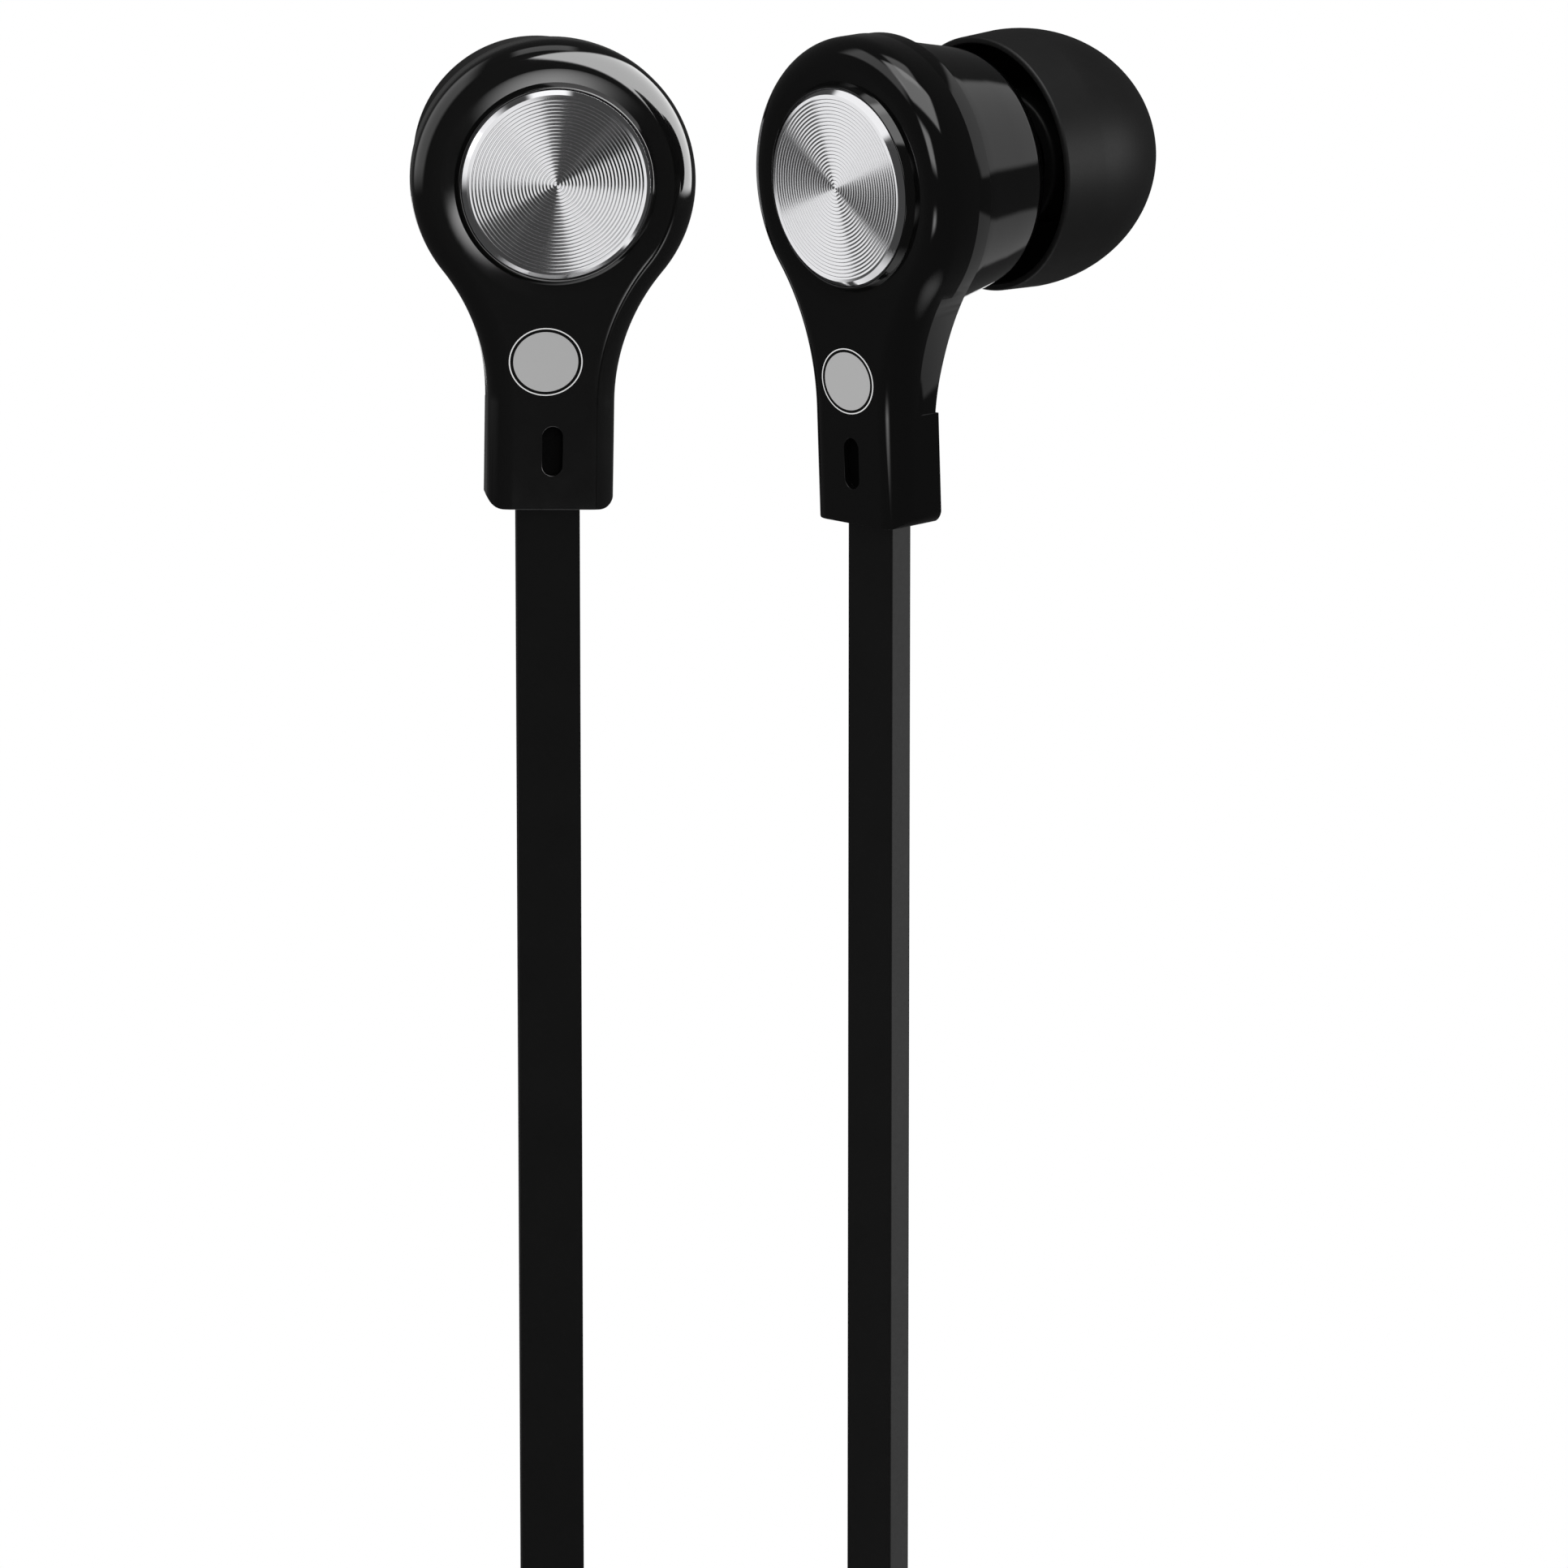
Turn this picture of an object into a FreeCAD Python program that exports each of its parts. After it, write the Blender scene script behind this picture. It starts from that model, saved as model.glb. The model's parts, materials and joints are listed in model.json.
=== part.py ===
import FreeCAD, Part
import math
import os

import Sketcher
from FreeCAD import Placement, Rotation, Vector

# Wired in-ear earphones, hanging as they do when worn: two buds side by side, each with a flat lead
# straight down, and the rest of the cord wound up below.
# Millimetres, +X to the right, +Y towards the ears, +Z up.
# The origin is the front end of the left ear tip, and the left nozzle points along +Y.

doc = FreeCAD.newDocument("earphones")

SIZES = [
    ("head_radius", 6.85, "round head of a bud, seen from the front"),
    ("head_seam", 2.75, "depth of the seam between face shell and ear shell"),
    ("face_depth", 0.65, "front of the shell behind the front of the metal disc"),
    ("face_round", 0.95, "rounding of the shell's front edge"),
    ("shell_wall", 0.95, "wall of the face shell"),
    ("disc_radius", 4.6, "spun metal disc"),
    ("disc_thick", 0.5, ""),
    ("disc_bevel", 0.2, "polished edge of the disc"),
    ("boss_wall", 0.3, "ring that stands round the disc"),
    ("boss_depth", 0.12, "front of that ring behind the front of the disc"),
    ("valley_width", 1.0, "dished groove outside the ring, across"),
    ("valley_depth", 0.35, "and below the front of the shell"),
    ("floor_wall", 0.45, "wall behind the groove"),
    ("neck_round", 9.85, "hollow curve from head to stem"),
    ("stem_half", 3.07, "half the width of the stem"),
    ("stem_end", 15.7, "bottom of the stem below the disc's middle"),
    ("stem_back", 2.85, "depth of the back of the stem"),
    ("stem_corner", 1.0, "bottom corners of the stem"),
    ("slot_width", 1.0, "vent slot in the stem"),
    ("slot_height", 2.4, ""),
    ("slot_place", 12.8, "its middle below the disc's middle"),
    ("slot_depth", 0.3, ""),
    ("tongue_end", 10.2, "end of the ear shell's tongue, which closes the back of the neck"),
    ("tongue_seam", 2.05, "depth of the seam along the neck"),
    ("tongue_rise", 5.6, "where the tongue meets the barrel, below the disc's middle"),
    ("tongue_hollow", 0.4, "how far its back is hollowed on the way"),
    ("flange_radius", 6.5, "flange of the ear shell at the seam"),
    ("flange_thick", 0.85, ""),
    ("barrel_radius", 6.05, "barrel of the ear shell"),
    ("barrel_small", 5.6, "its far end"),
    ("barrel_end", 7.6, "depth where the barrel turns in"),
    ("barrel_round", 1.1, "rounding there"),
    ("nozzle_radius", 2.2, "sound nozzle"),
    ("nozzle_bore", 1.5, ""),
    ("nozzle_foot", 10.2, "depth where the nozzle starts"),
    ("nozzle_end", 15.0, "depth of the nozzle's open end"),
    ("lip_radius", 2.45, "lip that holds the ear tip"),
    ("lip_thick", 0.7, ""),
    ("lip_back", 0.4, "lip behind the nozzle's end"),
    ("lip_chamfer", 0.15, "its lead-in"),
    ("nozzle_flare", 0.7, "cone at the nozzle's foot"),
    ("mesh_radius", 1.85, "acoustic mesh in the nozzle's end"),
    ("mesh_thick", 0.2, ""),
    ("mesh_sink", 0.2, "mesh behind the nozzle's end"),
    ("tip_nose", 2.3, "front end of the ear tip beyond the nozzle's end"),
    ("tip_seat", 0.3, "its inner shoulder beyond the nozzle's end"),
    ("tip_radius", 5.95, "round of the ear tip"),
    ("tip_hole", 2.0, "sound hole of the ear tip"),
    ("tip_wall", 0.5, "thin skirt of the ear tip"),
    ("skirt_depth", 8.6, "rim of the skirt"),
    ("skirt_draw", 0.1, "how far the rim is drawn in"),
    ("core_gap", 0.06, "core round the nozzle's lip"),
    ("core_wall", 0.7, ""),
    ("core_depth", 10.7, "near end of the core"),
    ("driver_radius", 5.0, "10 mm driver"),
    ("driver_gap", 0.05, "driver in the ear shell"),
    ("driver_back", 4.4, "depth of the driver's back"),
    ("driver_front", 7.5, "depth of its front, on the shell's shoulder"),
    ("frame_wall", 0.4, "driver frame"),
    ("yoke_radius", 3.25, "steel cup of the magnet"),
    ("yoke_wall", 0.3, ""),
    ("yoke_reach", 2.1, ""),
    ("magnet_radius", 2.2, ""),
    ("plate_radius", 2.25, "pole plate on the magnet"),
    ("plate_thick", 0.5, ""),
    ("coil_inner", 2.42, "voice coil"),
    ("coil_outer", 2.74, ""),
    ("coil_reach", 1.3, ""),
    ("cone_depth", 6.95, "depth of the diaphragm's rim"),
    ("cone_rise", 0.38, "height of its dome"),
    ("film_thick", 0.1, "diaphragm and surround"),
    ("film_gap", 0.05, "between diaphragm and surround"),
    ("cone_edge", 0.25, "flat edge of the diaphragm, inside its coil"),
    ("roll_rise", 0.25, "height of the surround's roll"),
    ("ring_wall", 0.55, "ring that clamps the surround"),
    ("board_width", 4.0, "terminal board on the driver's back"),
    ("board_height", 2.0, ""),
    ("board_thick", 0.3, ""),
    ("board_drop", 3.3, "its middle below the disc's middle"),
    ("wire_radius", 0.25, "inner wires"),
    ("wire_pitch", 1.0, ""),
    ("wire_bend", 1.0, ""),
    ("clamp_height", 2.6, "moulded clamp on the lead's end, in the stem"),
    ("channel_gap", 0.05, "clamp in the stem"),
    ("cord_width", 3.05, "flat cord"),
    ("cord_thick", 1.25, ""),
    ("cord_depth", 1.8, "depth of the cord in the stem"),
    ("lead_gap", 24.0, "between the two leads, hanging"),
    ("lead_swing", 55.7, "direction from the left lead to the right one, degrees right of +X"),
    ("left_lean", 1.0, "the left bud leans, its stem's end to the left, degrees"),
    ("right_swing", 55.4, "turn of the right bud, degrees"),
    ("right_tilt", 3.0, "its nozzle's tilt up, degrees"),
    ("right_rise", 1.9, "its disc's middle above the left one's"),
    ("straight_end", 74.0, "the leads hang straight down to here"),
    ("draw_length", 16.0, "the leads draw together over this height"),
    ("ring_radius", 19.0, "outer turn of the wound cord"),
    ("turn_pitch", 1.75, "from turn to turn"),
    ("layer_pitch", 3.5, "from layer to layer"),
    ("entry_radius", 10.0, "bend where a cord joins the turns"),
    ("split_length", 13.0, "splitter"),
    ("split_wide", 8.6, "its end on the two leads"),
    ("split_narrow", 5.4, "its end on the main cord"),
    ("split_thick", 3.6, ""),
    ("split_round", 1.0, "its rounded edges"),
    ("split_clear", 1.5, "straight run of cord between a moulding and a bend"),
    ("plug_radius", 1.75, "3.5 mm plug pin"),
    ("plug_reach", 14.0, "its length"),
    ("handle_radius", 3.2, "plug handle"),
    ("handle_length", 16.0, ""),
    ("handle_round", 0.5, "its chamfered ends, across"),
    ("handle_run", 0.8, "and along"),
    ("relief_length", 8.0, "strain relief of the plug"),
    ("relief_radius", 2.1, "its thin end"),
    ("collar_radius", 2.7, "metal collar of the plug"),
    ("collar_length", 1.2, ""),
    ("contact_length", 2.4, "ring contact of the plug"),
    ("insulator_length", 0.6, ""),
    ("ridge_count", 5, "grip ridges on the strain relief"),
    ("ridge_height", 0.25, ""),
    ("relief_step", 0.4, "relief's thick end inside the handle's radius"),
    ("nose_neck", 0.45, "waist of the pin's tip"),
    ("nose_crest", 0.1, "its crest below the pin's radius"),
    ("nose_round", 0.9, "its blunt end"),
    ("neck_run", 0.7, "from the last insulator to the waist"),
    ("crest_run", 1.5, "and to the crest"),
    ("tie_width", 4.0, "band that holds the turns"),
    ("tie_thick", 0.8, ""),
    ("tie_gap", 0.3, "band outside the turns"),
]

sheet = doc.addObject("Spreadsheet::Sheet", "sizes")
for row, (alias, number, note) in enumerate(SIZES, start=1):
    sheet.set(f"A{row}", str(number))
    sheet.setAlias(f"A{row}", alias)
    sheet.set(f"B{row}", note)
doc.recompute()


class Size:
    """A length with its number and the sheet's expression for it."""

    def __init__(self, number, text):
        self.number = float(number)
        self.text = text

    def __float__(self):
        return self.number

    def __add__(self, other):
        other = size(other)
        return Size(self.number + other.number, f"({self.text} + {other.text})")

    def __sub__(self, other):
        other = size(other)
        return Size(self.number - other.number, f"({self.text} - {other.text})")

    def __mul__(self, other):
        other = size(other)
        return Size(self.number * other.number, f"({self.text} * {other.text})")

    def __neg__(self):
        return Size(-self.number, f"(-1 * {self.text})")


def size(value):
    """A plain number or a Size, as a Size."""
    return value if isinstance(value, Size) else Size(value, repr(float(value)))


class Sheet:
    """The sheet's sizes by name."""

    def __getattr__(self, alias):
        return Size(sheet.get(alias), f"sizes.{alias}")


S = Sheet()
WIDTH = float(S.cord_width)
THICK = float(S.cord_thick)


# Helpers that make one named piece each

pieces = []


def keep(piece, name, place):
    """Names a piece, puts it in place and lists it."""
    piece.Label = name
    piece.Placement = place
    pieces.append(piece)
    return piece


def formed(name, shape, place):
    """A piece whose form is worked out with the geometry kernel's own functions."""
    piece = doc.addObject("Part::Feature", name)
    piece.Shape = shape
    return keep(piece, name, place)


def bend_centre(start, end, bend):
    """Centre of the arc from start to end; a positive bend radius turns left, a negative one right."""
    chord = end - start
    left = Vector(-chord.y, chord.x, 0).normalize()
    reach = math.sqrt(max(bend * bend - chord.Length ** 2 / 4, 0))
    return (start + end) * 0.5 + left * math.copysign(reach, bend)


def turned(name, outline, place):
    """A turned piece: a sketched half outline of (radius, depth[, bend to the next corner]), spun."""
    body = doc.addObject("PartDesign::Body", name + "_body")
    sketch = body.newObject("Sketcher::SketchObject", name + "_outline")
    plane = [item for item in body.Origin.OriginFeatures if item.Role == "XY_Plane"][0]
    sketch.AttachmentSupport = [(plane, "")]
    sketch.MapMode = "FlatFace"
    corners = [(size(corner[0]), size(corner[1])) for corner in outline]
    spots = [Vector(float(radius), float(depth), 0) for radius, depth in corners]
    first, last = [], []
    for index, corner in enumerate(outline):
        start, end = spots[index], spots[(index + 1) % len(spots)]
        if len(corner) == 2:
            sketch.addGeometry(Part.LineSegment(start, end), False)
            first.append(1)
            last.append(2)
            continue
        bend = float(corner[2])
        centre = bend_centre(start, end, bend)
        ends = (start, end) if bend > 0 else (end, start)
        angles = [math.atan2(spot.y - centre.y, spot.x - centre.x) for spot in ends]
        circle = Part.Circle(centre, Vector(0, 0, 1), abs(bend))
        sketch.addGeometry(Part.ArcOfCircle(circle, angles[0], angles[1]), False)
        first.append(1 if bend > 0 else 2)
        last.append(2 if bend > 0 else 1)
    for index, (radius, depth) in enumerate(corners):
        before = index - 1 if index else len(corners) - 1
        sketch.addConstraint(Sketcher.Constraint("Coincident", before, last[before], index, first[index]))
        for kind, axis, length in (("DistanceX", -2, radius), ("DistanceY", -1, depth)):
            if abs(length.number) < 1e-9:
                sketch.addConstraint(Sketcher.Constraint("PointOnObject", index, first[index], axis))
                continue
            held = sketch.addConstraint(
                Sketcher.Constraint(kind, -1, 1, index, first[index], length.number)
            )
            sketch.setExpression(f"Constraints[{held}]", length.text)
        if len(outline[index]) == 3:
            bend = size(outline[index][2])
            held = sketch.addConstraint(Sketcher.Constraint("Radius", index, abs(bend.number)))
            sketch.setExpression(f"Constraints[{held}]", bend.text if bend.number > 0 else (-bend).text)
    spin = body.newObject("PartDesign::Revolution", name + "_spin")
    spin.Profile = sketch
    spin.ReferenceAxis = (sketch, ["V_Axis"])
    spin.Angle = 360
    body.Tip = spin
    return keep(body, name, place)


def spun(outline):
    """A solid of revolution round the nozzle axis from (radius, depth[, bend]) corners."""
    spots = [Vector(float(corner[0]), float(corner[1]), 0) for corner in outline]
    edges = []
    for index, corner in enumerate(outline):
        start, end = spots[index], spots[(index + 1) % len(spots)]
        if len(corner) == 2:
            edges.append(Part.LineSegment(start, end).toShape())
            continue
        bend = float(corner[2])
        centre = bend_centre(start, end, bend)
        middle = centre + ((start + end) * 0.5 - centre).normalize() * abs(bend)
        edges.append(Part.Arc(start, middle, end).toShape())
    return Part.Face(Part.Wire(edges)).revolve(Vector(0, 0, 0), Vector(0, 1, 0), 360)


def block(low, high):
    """A box from its lowest to its highest corner."""
    return Part.makeBox(high.x - low.x, high.y - low.y, high.z - low.z, low)


# The outline of a bud from the front: round head, hollow neck curves, straight stem


def plan_outline(head):
    """The outline round a head of a radius, as a face in the plane of the disc's front."""
    neck, half = float(S.neck_round), float(S.stem_half)
    end, corner = float(S.stem_end), float(S.stem_corner)
    drop = math.sqrt((head + neck) ** 2 - (half + neck) ** 2)
    meet = Vector(half + neck, 0, -drop) * (head / (head + neck))
    hollow = Vector(half + neck, 0, -drop)
    foot = Vector(half, 0, -drop)
    inner = hollow + ((meet + foot) * 0.5 - hollow).normalize() * neck
    low = Vector(half, 0, -end + corner)
    turn = Vector(half - corner, 0, -end)
    round_mid = Vector(half - corner, 0, -end + corner) + Vector(1, 0, -1).normalize() * corner

    def other(spot):
        return Vector(-spot.x, spot.y, spot.z)

    edges = [
        Part.Arc(meet, Vector(0, 0, head), other(meet)),
        Part.Arc(other(meet), other(inner), other(foot)),
        Part.LineSegment(other(foot), other(low)),
        Part.Arc(other(low), other(round_mid), other(turn)),
        Part.LineSegment(other(turn), turn),
        Part.Arc(turn, round_mid, low),
        Part.LineSegment(low, foot),
        Part.Arc(foot, inner, meet),
    ]
    return Part.Face(Part.Wire([edge.toShape() for edge in edges]))


def plan_prism(head, near, far):
    """The outline as a solid between two depths."""
    return plan_outline(head).translated(Vector(0, near, 0)).extrude(Vector(0, far - near, 0))


def channel(top):
    """The passage for the lead's end and the wires, from below the stem up to a height."""
    half = WIDTH / 2 + float(S.channel_gap)
    deep = THICK / 2 + float(S.channel_gap)
    middle = float(S.cord_depth)
    below = float(S.stem_end) + 1
    return block(Vector(-half, middle - deep, -below), Vector(half, middle + deep, -top))


def face_shell():
    """The front half of the housing: dished head with the disc's seat, neck, and a full sleeve below."""
    seam, face, head = float(S.head_seam), float(S.face_depth), float(S.head_radius)
    disc, disc_back = float(S.disc_radius), float(S.disc_thick)
    ring, wall = disc + float(S.boss_wall), float(S.shell_wall)
    back, side = float(S.stem_back), float(S.tongue_seam)
    shell = plan_prism(head, face, seam)
    front = [edge for edge in shell.Edges if all(abs(v.Y - face) < 1e-6 for v in edge.Vertexes)]
    shell = shell.makeFillet(float(S.face_round), front)
    shell = shell.fuse(spun([(0, float(S.boss_depth)), (ring, float(S.boss_depth)), (ring, seam), (0, seam)]))
    valley_far = ring + float(S.valley_width)
    valley_low = face + float(S.valley_depth)
    valley_bend = -3 * float(S.valley_width)
    shell = shell.cut(spun([(ring, face - 1), (ring, valley_low, valley_bend), (valley_far, face),
                            (valley_far, face - 1)]))
    shell = shell.cut(spun([(0, -1), (disc, -1), (disc, disc_back), (0, disc_back)]))
    cavity = head - wall
    floor = valley_low + float(S.floor_wall)
    shell = shell.cut(spun([(0, floor), (cavity, floor), (cavity, seam + 1), (0, seam + 1)]))
    wide = Vector(2 * head, 0, 0)
    neck_back = block(Vector(0, side, -float(S.tongue_end)) - wide, Vector(0, seam + 1, 0) + wide)
    neck_back = neck_back.cut(spun([(0, 0), (head, 0), (head, seam + 1), (0, seam + 1)]))
    stem_back = block(Vector(0, back, -float(S.stem_end) - 1) - wide,
                      Vector(0, seam + 1, -float(S.tongue_end)) + wide)
    shell = shell.cut(neck_back).cut(stem_back).cut(channel(cavity - wall))
    half, tall = float(S.slot_width) / 2, float(S.slot_height) / 2 - float(S.slot_width) / 2
    slot_back = face + float(S.slot_depth)
    middle = -float(S.slot_place)
    slot = block(Vector(-half, -1, middle - tall), Vector(half, slot_back, middle + tall))
    for end in (middle - tall, middle + tall):
        slot = slot.fuse(Part.makeCylinder(half, slot_back + 1, Vector(0, -1, end), Vector(0, 1, 0)))
    return shell.cut(slot)


def ear_shell():
    """The ear-side half: flange, tapered barrel, nozzle with its lip, and the tongue down the neck."""
    seam, inner = float(S.head_seam), float(S.driver_radius) + float(S.driver_gap)
    front, turn = float(S.driver_front), float(S.barrel_end)
    small, bend = float(S.barrel_small), float(S.barrel_round)
    nozzle, bore, end = float(S.nozzle_radius), float(S.nozzle_bore), float(S.nozzle_end)
    lip, lip_end = float(S.lip_radius), end - float(S.lip_back)
    lip_start = lip_end - float(S.lip_thick)
    flange, flange_end = float(S.flange_radius), seam + float(S.flange_thick)
    barrel, foot = float(S.barrel_radius), float(S.nozzle_foot)
    mesh, mesh_seat = float(S.mesh_radius), end - float(S.mesh_sink) - float(S.mesh_thick)
    flare, chamfer = float(S.nozzle_flare), float(S.lip_chamfer)
    step = float(S.frame_wall) + float(S.ring_wall) * 0.5
    shell = spun([
        (flange, seam), (flange, flange_end), (barrel, flange_end + flange - barrel),
        (small, turn, bend), (small - bend * 0.95, turn + bend * 0.8), (nozzle + flare, foot - flare),
        (nozzle, foot), (nozzle, lip_start), (lip, lip_start + chamfer), (lip, lip_end), (nozzle, end),
        (mesh, end), (mesh, mesh_seat), (bore, mesh_seat), (bore, foot - flare),
        (inner - step, turn), (inner - step, front), (inner, front), (inner, seam),
    ])
    side, back, low = float(S.tongue_seam), float(S.stem_back), -float(S.tongue_end)
    rise = -float(S.tongue_rise)
    ridge = flange_end
    foot_back, top_back = Vector(0, back, low), Vector(0, ridge, rise)
    hollow = Vector(0, low - rise, ridge - back).normalize() * float(S.tongue_hollow)
    edges = [
        Part.LineSegment(Vector(0, side, low), foot_back),
        Part.Arc(foot_back, (foot_back + top_back) * 0.5 + hollow, top_back),
        Part.LineSegment(Vector(0, ridge, rise), Vector(0, side, rise)),
        Part.LineSegment(Vector(0, side, rise), Vector(0, side, low)),
    ]
    strip = Part.Face(Part.Wire([edge.toShape() for edge in edges]))
    wide = 2 * float(S.head_radius)
    tongue = strip.translated(Vector(-wide / 2, 0, 0)).extrude(Vector(wide, 0, 0))
    tongue = tongue.common(plan_prism(flange, 0, ridge + 1))
    head = float(S.head_radius)
    tongue = tongue.cut(spun([(0, 0), (head, 0), (head, seam), (0, seam)]))
    shell = shell.fuse(tongue)
    return shell.cut(channel(inner))


def ear_tip_outline():
    """Silicone tip: thin flared skirt, round front with the sound hole, and a core over the nozzle."""
    ball, wall, hole = S.tip_radius, S.tip_wall, float(S.tip_hole)
    small = float(ball) - float(wall)
    core = S.lip_radius + S.core_gap
    shoulder, front = S.nozzle_end + S.tip_seat, S.nozzle_end + S.tip_nose
    middle = front - Size(
        math.sqrt(float(ball) ** 2 - hole ** 2),
        "sqrt(sizes.tip_radius * sizes.tip_radius - sizes.tip_hole * sizes.tip_hole)",
    )
    outer_core = core + S.core_wall
    meet = middle + Size(
        math.sqrt(small ** 2 - float(outer_core) ** 2),
        f"sqrt((sizes.tip_radius - sizes.tip_wall) ^ 2 - {outer_core.text} ^ 2)",
    )
    return [
        (ball - S.skirt_draw, S.skirt_depth), (ball, middle, ball), (S.tip_hole, front),
        (S.tip_hole, shoulder + S.core_wall * 0.5), (core, shoulder), (core, S.core_depth),
        (outer_core, S.core_depth), (outer_core, meet, -(ball - wall)), (ball - wall, middle),
        (ball - S.skirt_draw - wall, S.skirt_depth),
    ]


def tube(radius, spots, bends):
    """A round tube through spots, with a bend of the given radius at each inner spot."""
    edges = []
    start = spots[0]
    for index in range(1, len(spots) - 1):
        before = (spots[index - 1] - spots[index]).normalize()
        after = (spots[index + 1] - spots[index]).normalize()
        reach = bends / math.tan(before.getAngle(after) / 2)
        first, last = spots[index] + before * reach, spots[index] + after * reach
        centre_way = (before + after).normalize()
        to_centre = math.hypot(bends, reach)
        middle = spots[index] + centre_way * (to_centre - bends)
        edges.append(Part.LineSegment(start, first).toShape())
        edges.append(Part.Arc(first, middle, last).toShape())
        start = last
    edges.append(Part.LineSegment(start, spots[-1]).toShape())
    spine = Part.Wire(edges)
    circle = Part.Wire(Part.Circle(spots[0], spots[1] - spots[0], radius).toShape())
    return spine.makePipeShell([circle], True, False)


def driver(side, place):
    """The 10 mm driver: frame, magnet circuit, voice coil with its dome, surround and clamp ring."""
    out, back, wall = S.driver_radius, S.driver_back, S.frame_wall
    rim = S.cone_depth
    turned(f"{side}_driver_frame", [
        (S.yoke_radius, back), (out, back), (out, rim), (out - wall, rim), (out - wall, back + wall),
        (S.yoke_radius, back + wall),
    ], place)
    cup = back + S.yoke_wall
    turned(f"{side}_yoke", [
        (0, back), (S.yoke_radius, back), (S.yoke_radius, back + S.yoke_reach),
        (S.yoke_radius - S.yoke_wall, back + S.yoke_reach), (S.yoke_radius - S.yoke_wall, cup), (0, cup),
    ], place)
    plate = back + S.yoke_reach - S.plate_thick
    turned(f"{side}_magnet", [(0, cup), (S.magnet_radius, cup), (S.magnet_radius, plate), (0, plate)], place)
    turned(f"{side}_pole_plate", [
        (0, plate), (S.plate_radius, plate), (S.plate_radius, plate + S.plate_thick),
        (0, plate + S.plate_thick),
    ], place)
    turned(f"{side}_voice_coil", [
        (S.coil_inner, rim - S.coil_reach), (S.coil_outer, rim - S.coil_reach), (S.coil_outer, rim),
        (S.coil_inner, rim),
    ], place)
    film, dome = S.film_thick, S.coil_inner - S.cone_edge
    turned(f"{side}_diaphragm", [
        (0, rim + S.cone_rise), (dome, rim + film), (dome, rim), (S.coil_outer, rim),
        (S.coil_outer, rim + film), (dome + film, rim + film), (dome + film, rim + film * 2),
        (0, rim + S.cone_rise + film),
    ], place)
    near, far = S.coil_outer + S.film_gap, out - S.ring_wall
    roll, top = (near + far) * 0.5, rim + S.roll_rise
    turned(f"{side}_surround", [
        (near, rim), (roll, top), (far, rim), (out, rim), (out, rim + film), (far, rim + film),
        (roll, top + film), (near, rim + film),
    ], place)
    turned(f"{side}_driver_ring", [
        (out - S.ring_wall, rim + film), (out, rim + film), (out, S.driver_front),
        (out - S.ring_wall, S.driver_front),
    ], place)
    mesh = S.nozzle_end - S.mesh_sink
    turned(f"{side}_nozzle_mesh", [
        (0, mesh - S.mesh_thick), (S.mesh_radius, mesh - S.mesh_thick), (S.mesh_radius, mesh), (0, mesh),
    ], place)


def inner_wiring(side, place):
    """Clamp on the lead's end, two wires up the neck, and the terminal board on the driver's back."""
    half, deep = WIDTH / 2, THICK / 2
    depth, end, tall = float(S.cord_depth), float(S.stem_end), float(S.clamp_height)
    clamp = block(Vector(-half, depth - deep, -end), Vector(half, depth + deep, -end + tall))
    formed(f"{side}_cable_clamp", clamp, place)
    board_back = float(S.driver_back) - float(S.board_thick)
    drop = float(S.board_drop)
    wires = []
    for way in (-1, 1):
        across = way * float(S.wire_pitch) / 2
        wires.append(tube(float(S.wire_radius), [
            Vector(across, depth, -end + tall), Vector(across, depth, -drop),
            Vector(across, board_back, -drop),
        ], float(S.wire_bend)))
    formed(f"{side}_wires", Part.makeCompound(wires), place)
    wide, high = float(S.board_width) / 2, float(S.board_height) / 2
    board = block(Vector(-wide, board_back, -drop - high), Vector(wide, float(S.driver_back), -drop + high))
    formed(f"{side}_terminal_board", board, place)


def bud(side, place):
    """One bud with everything in it."""
    formed(f"{side}_face_shell", face_shell(), place)
    formed(f"{side}_ear_shell", ear_shell(), place)
    bevel = S.disc_bevel
    turned(f"{side}_disc", [
        (0, 0), (S.disc_radius - bevel, 0), (S.disc_radius, bevel), (S.disc_radius, S.disc_thick),
        (0, S.disc_thick),
    ], place)
    driver(side, place)
    inner_wiring(side, place)
    turned(f"{side}_ear_tip", ear_tip_outline(), place)


# Where the buds and the wound cord are

swing = float(S.lead_swing)
left_lean = Rotation(Vector(0, 1, 0), float(S.left_lean))
left_bud = Placement(Vector(0, -float(S.nozzle_end + S.tip_nose), 0), left_lean)
exit_spot = Vector(0, float(S.cord_depth), -float(S.stem_end))
left_exit = left_bud.multVec(exit_spot)
right_turn = Rotation(Vector(0, 0, 1), -float(S.right_swing)) * Rotation(Vector(1, 0, 0), float(S.right_tilt))
way_over = Rotation(Vector(0, 0, 1), -swing).multVec(Vector(1, 0, 0))
right_exit = left_exit + way_over * float(S.lead_gap)
right_base = right_exit - right_turn.multVec(exit_spot)
right_base.z = float(S.right_rise)
right_bud = Placement(right_base, right_turn)
right_exit = right_bud.multVec(exit_spot)
rack_middle = left_exit + way_over * (float(S.lead_gap) / 2)
rack = Placement(Vector(rack_middle.x, rack_middle.y, 0), Rotation(Vector(0, 0, 1), -swing))

bud("left", left_bud)
bud("right", right_bud)


# The cord. Its own frame, the rack, has x from the left lead to the right one and z up; the turns lie
# in planes across x, so the flat cord bends only the easy way.


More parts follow.
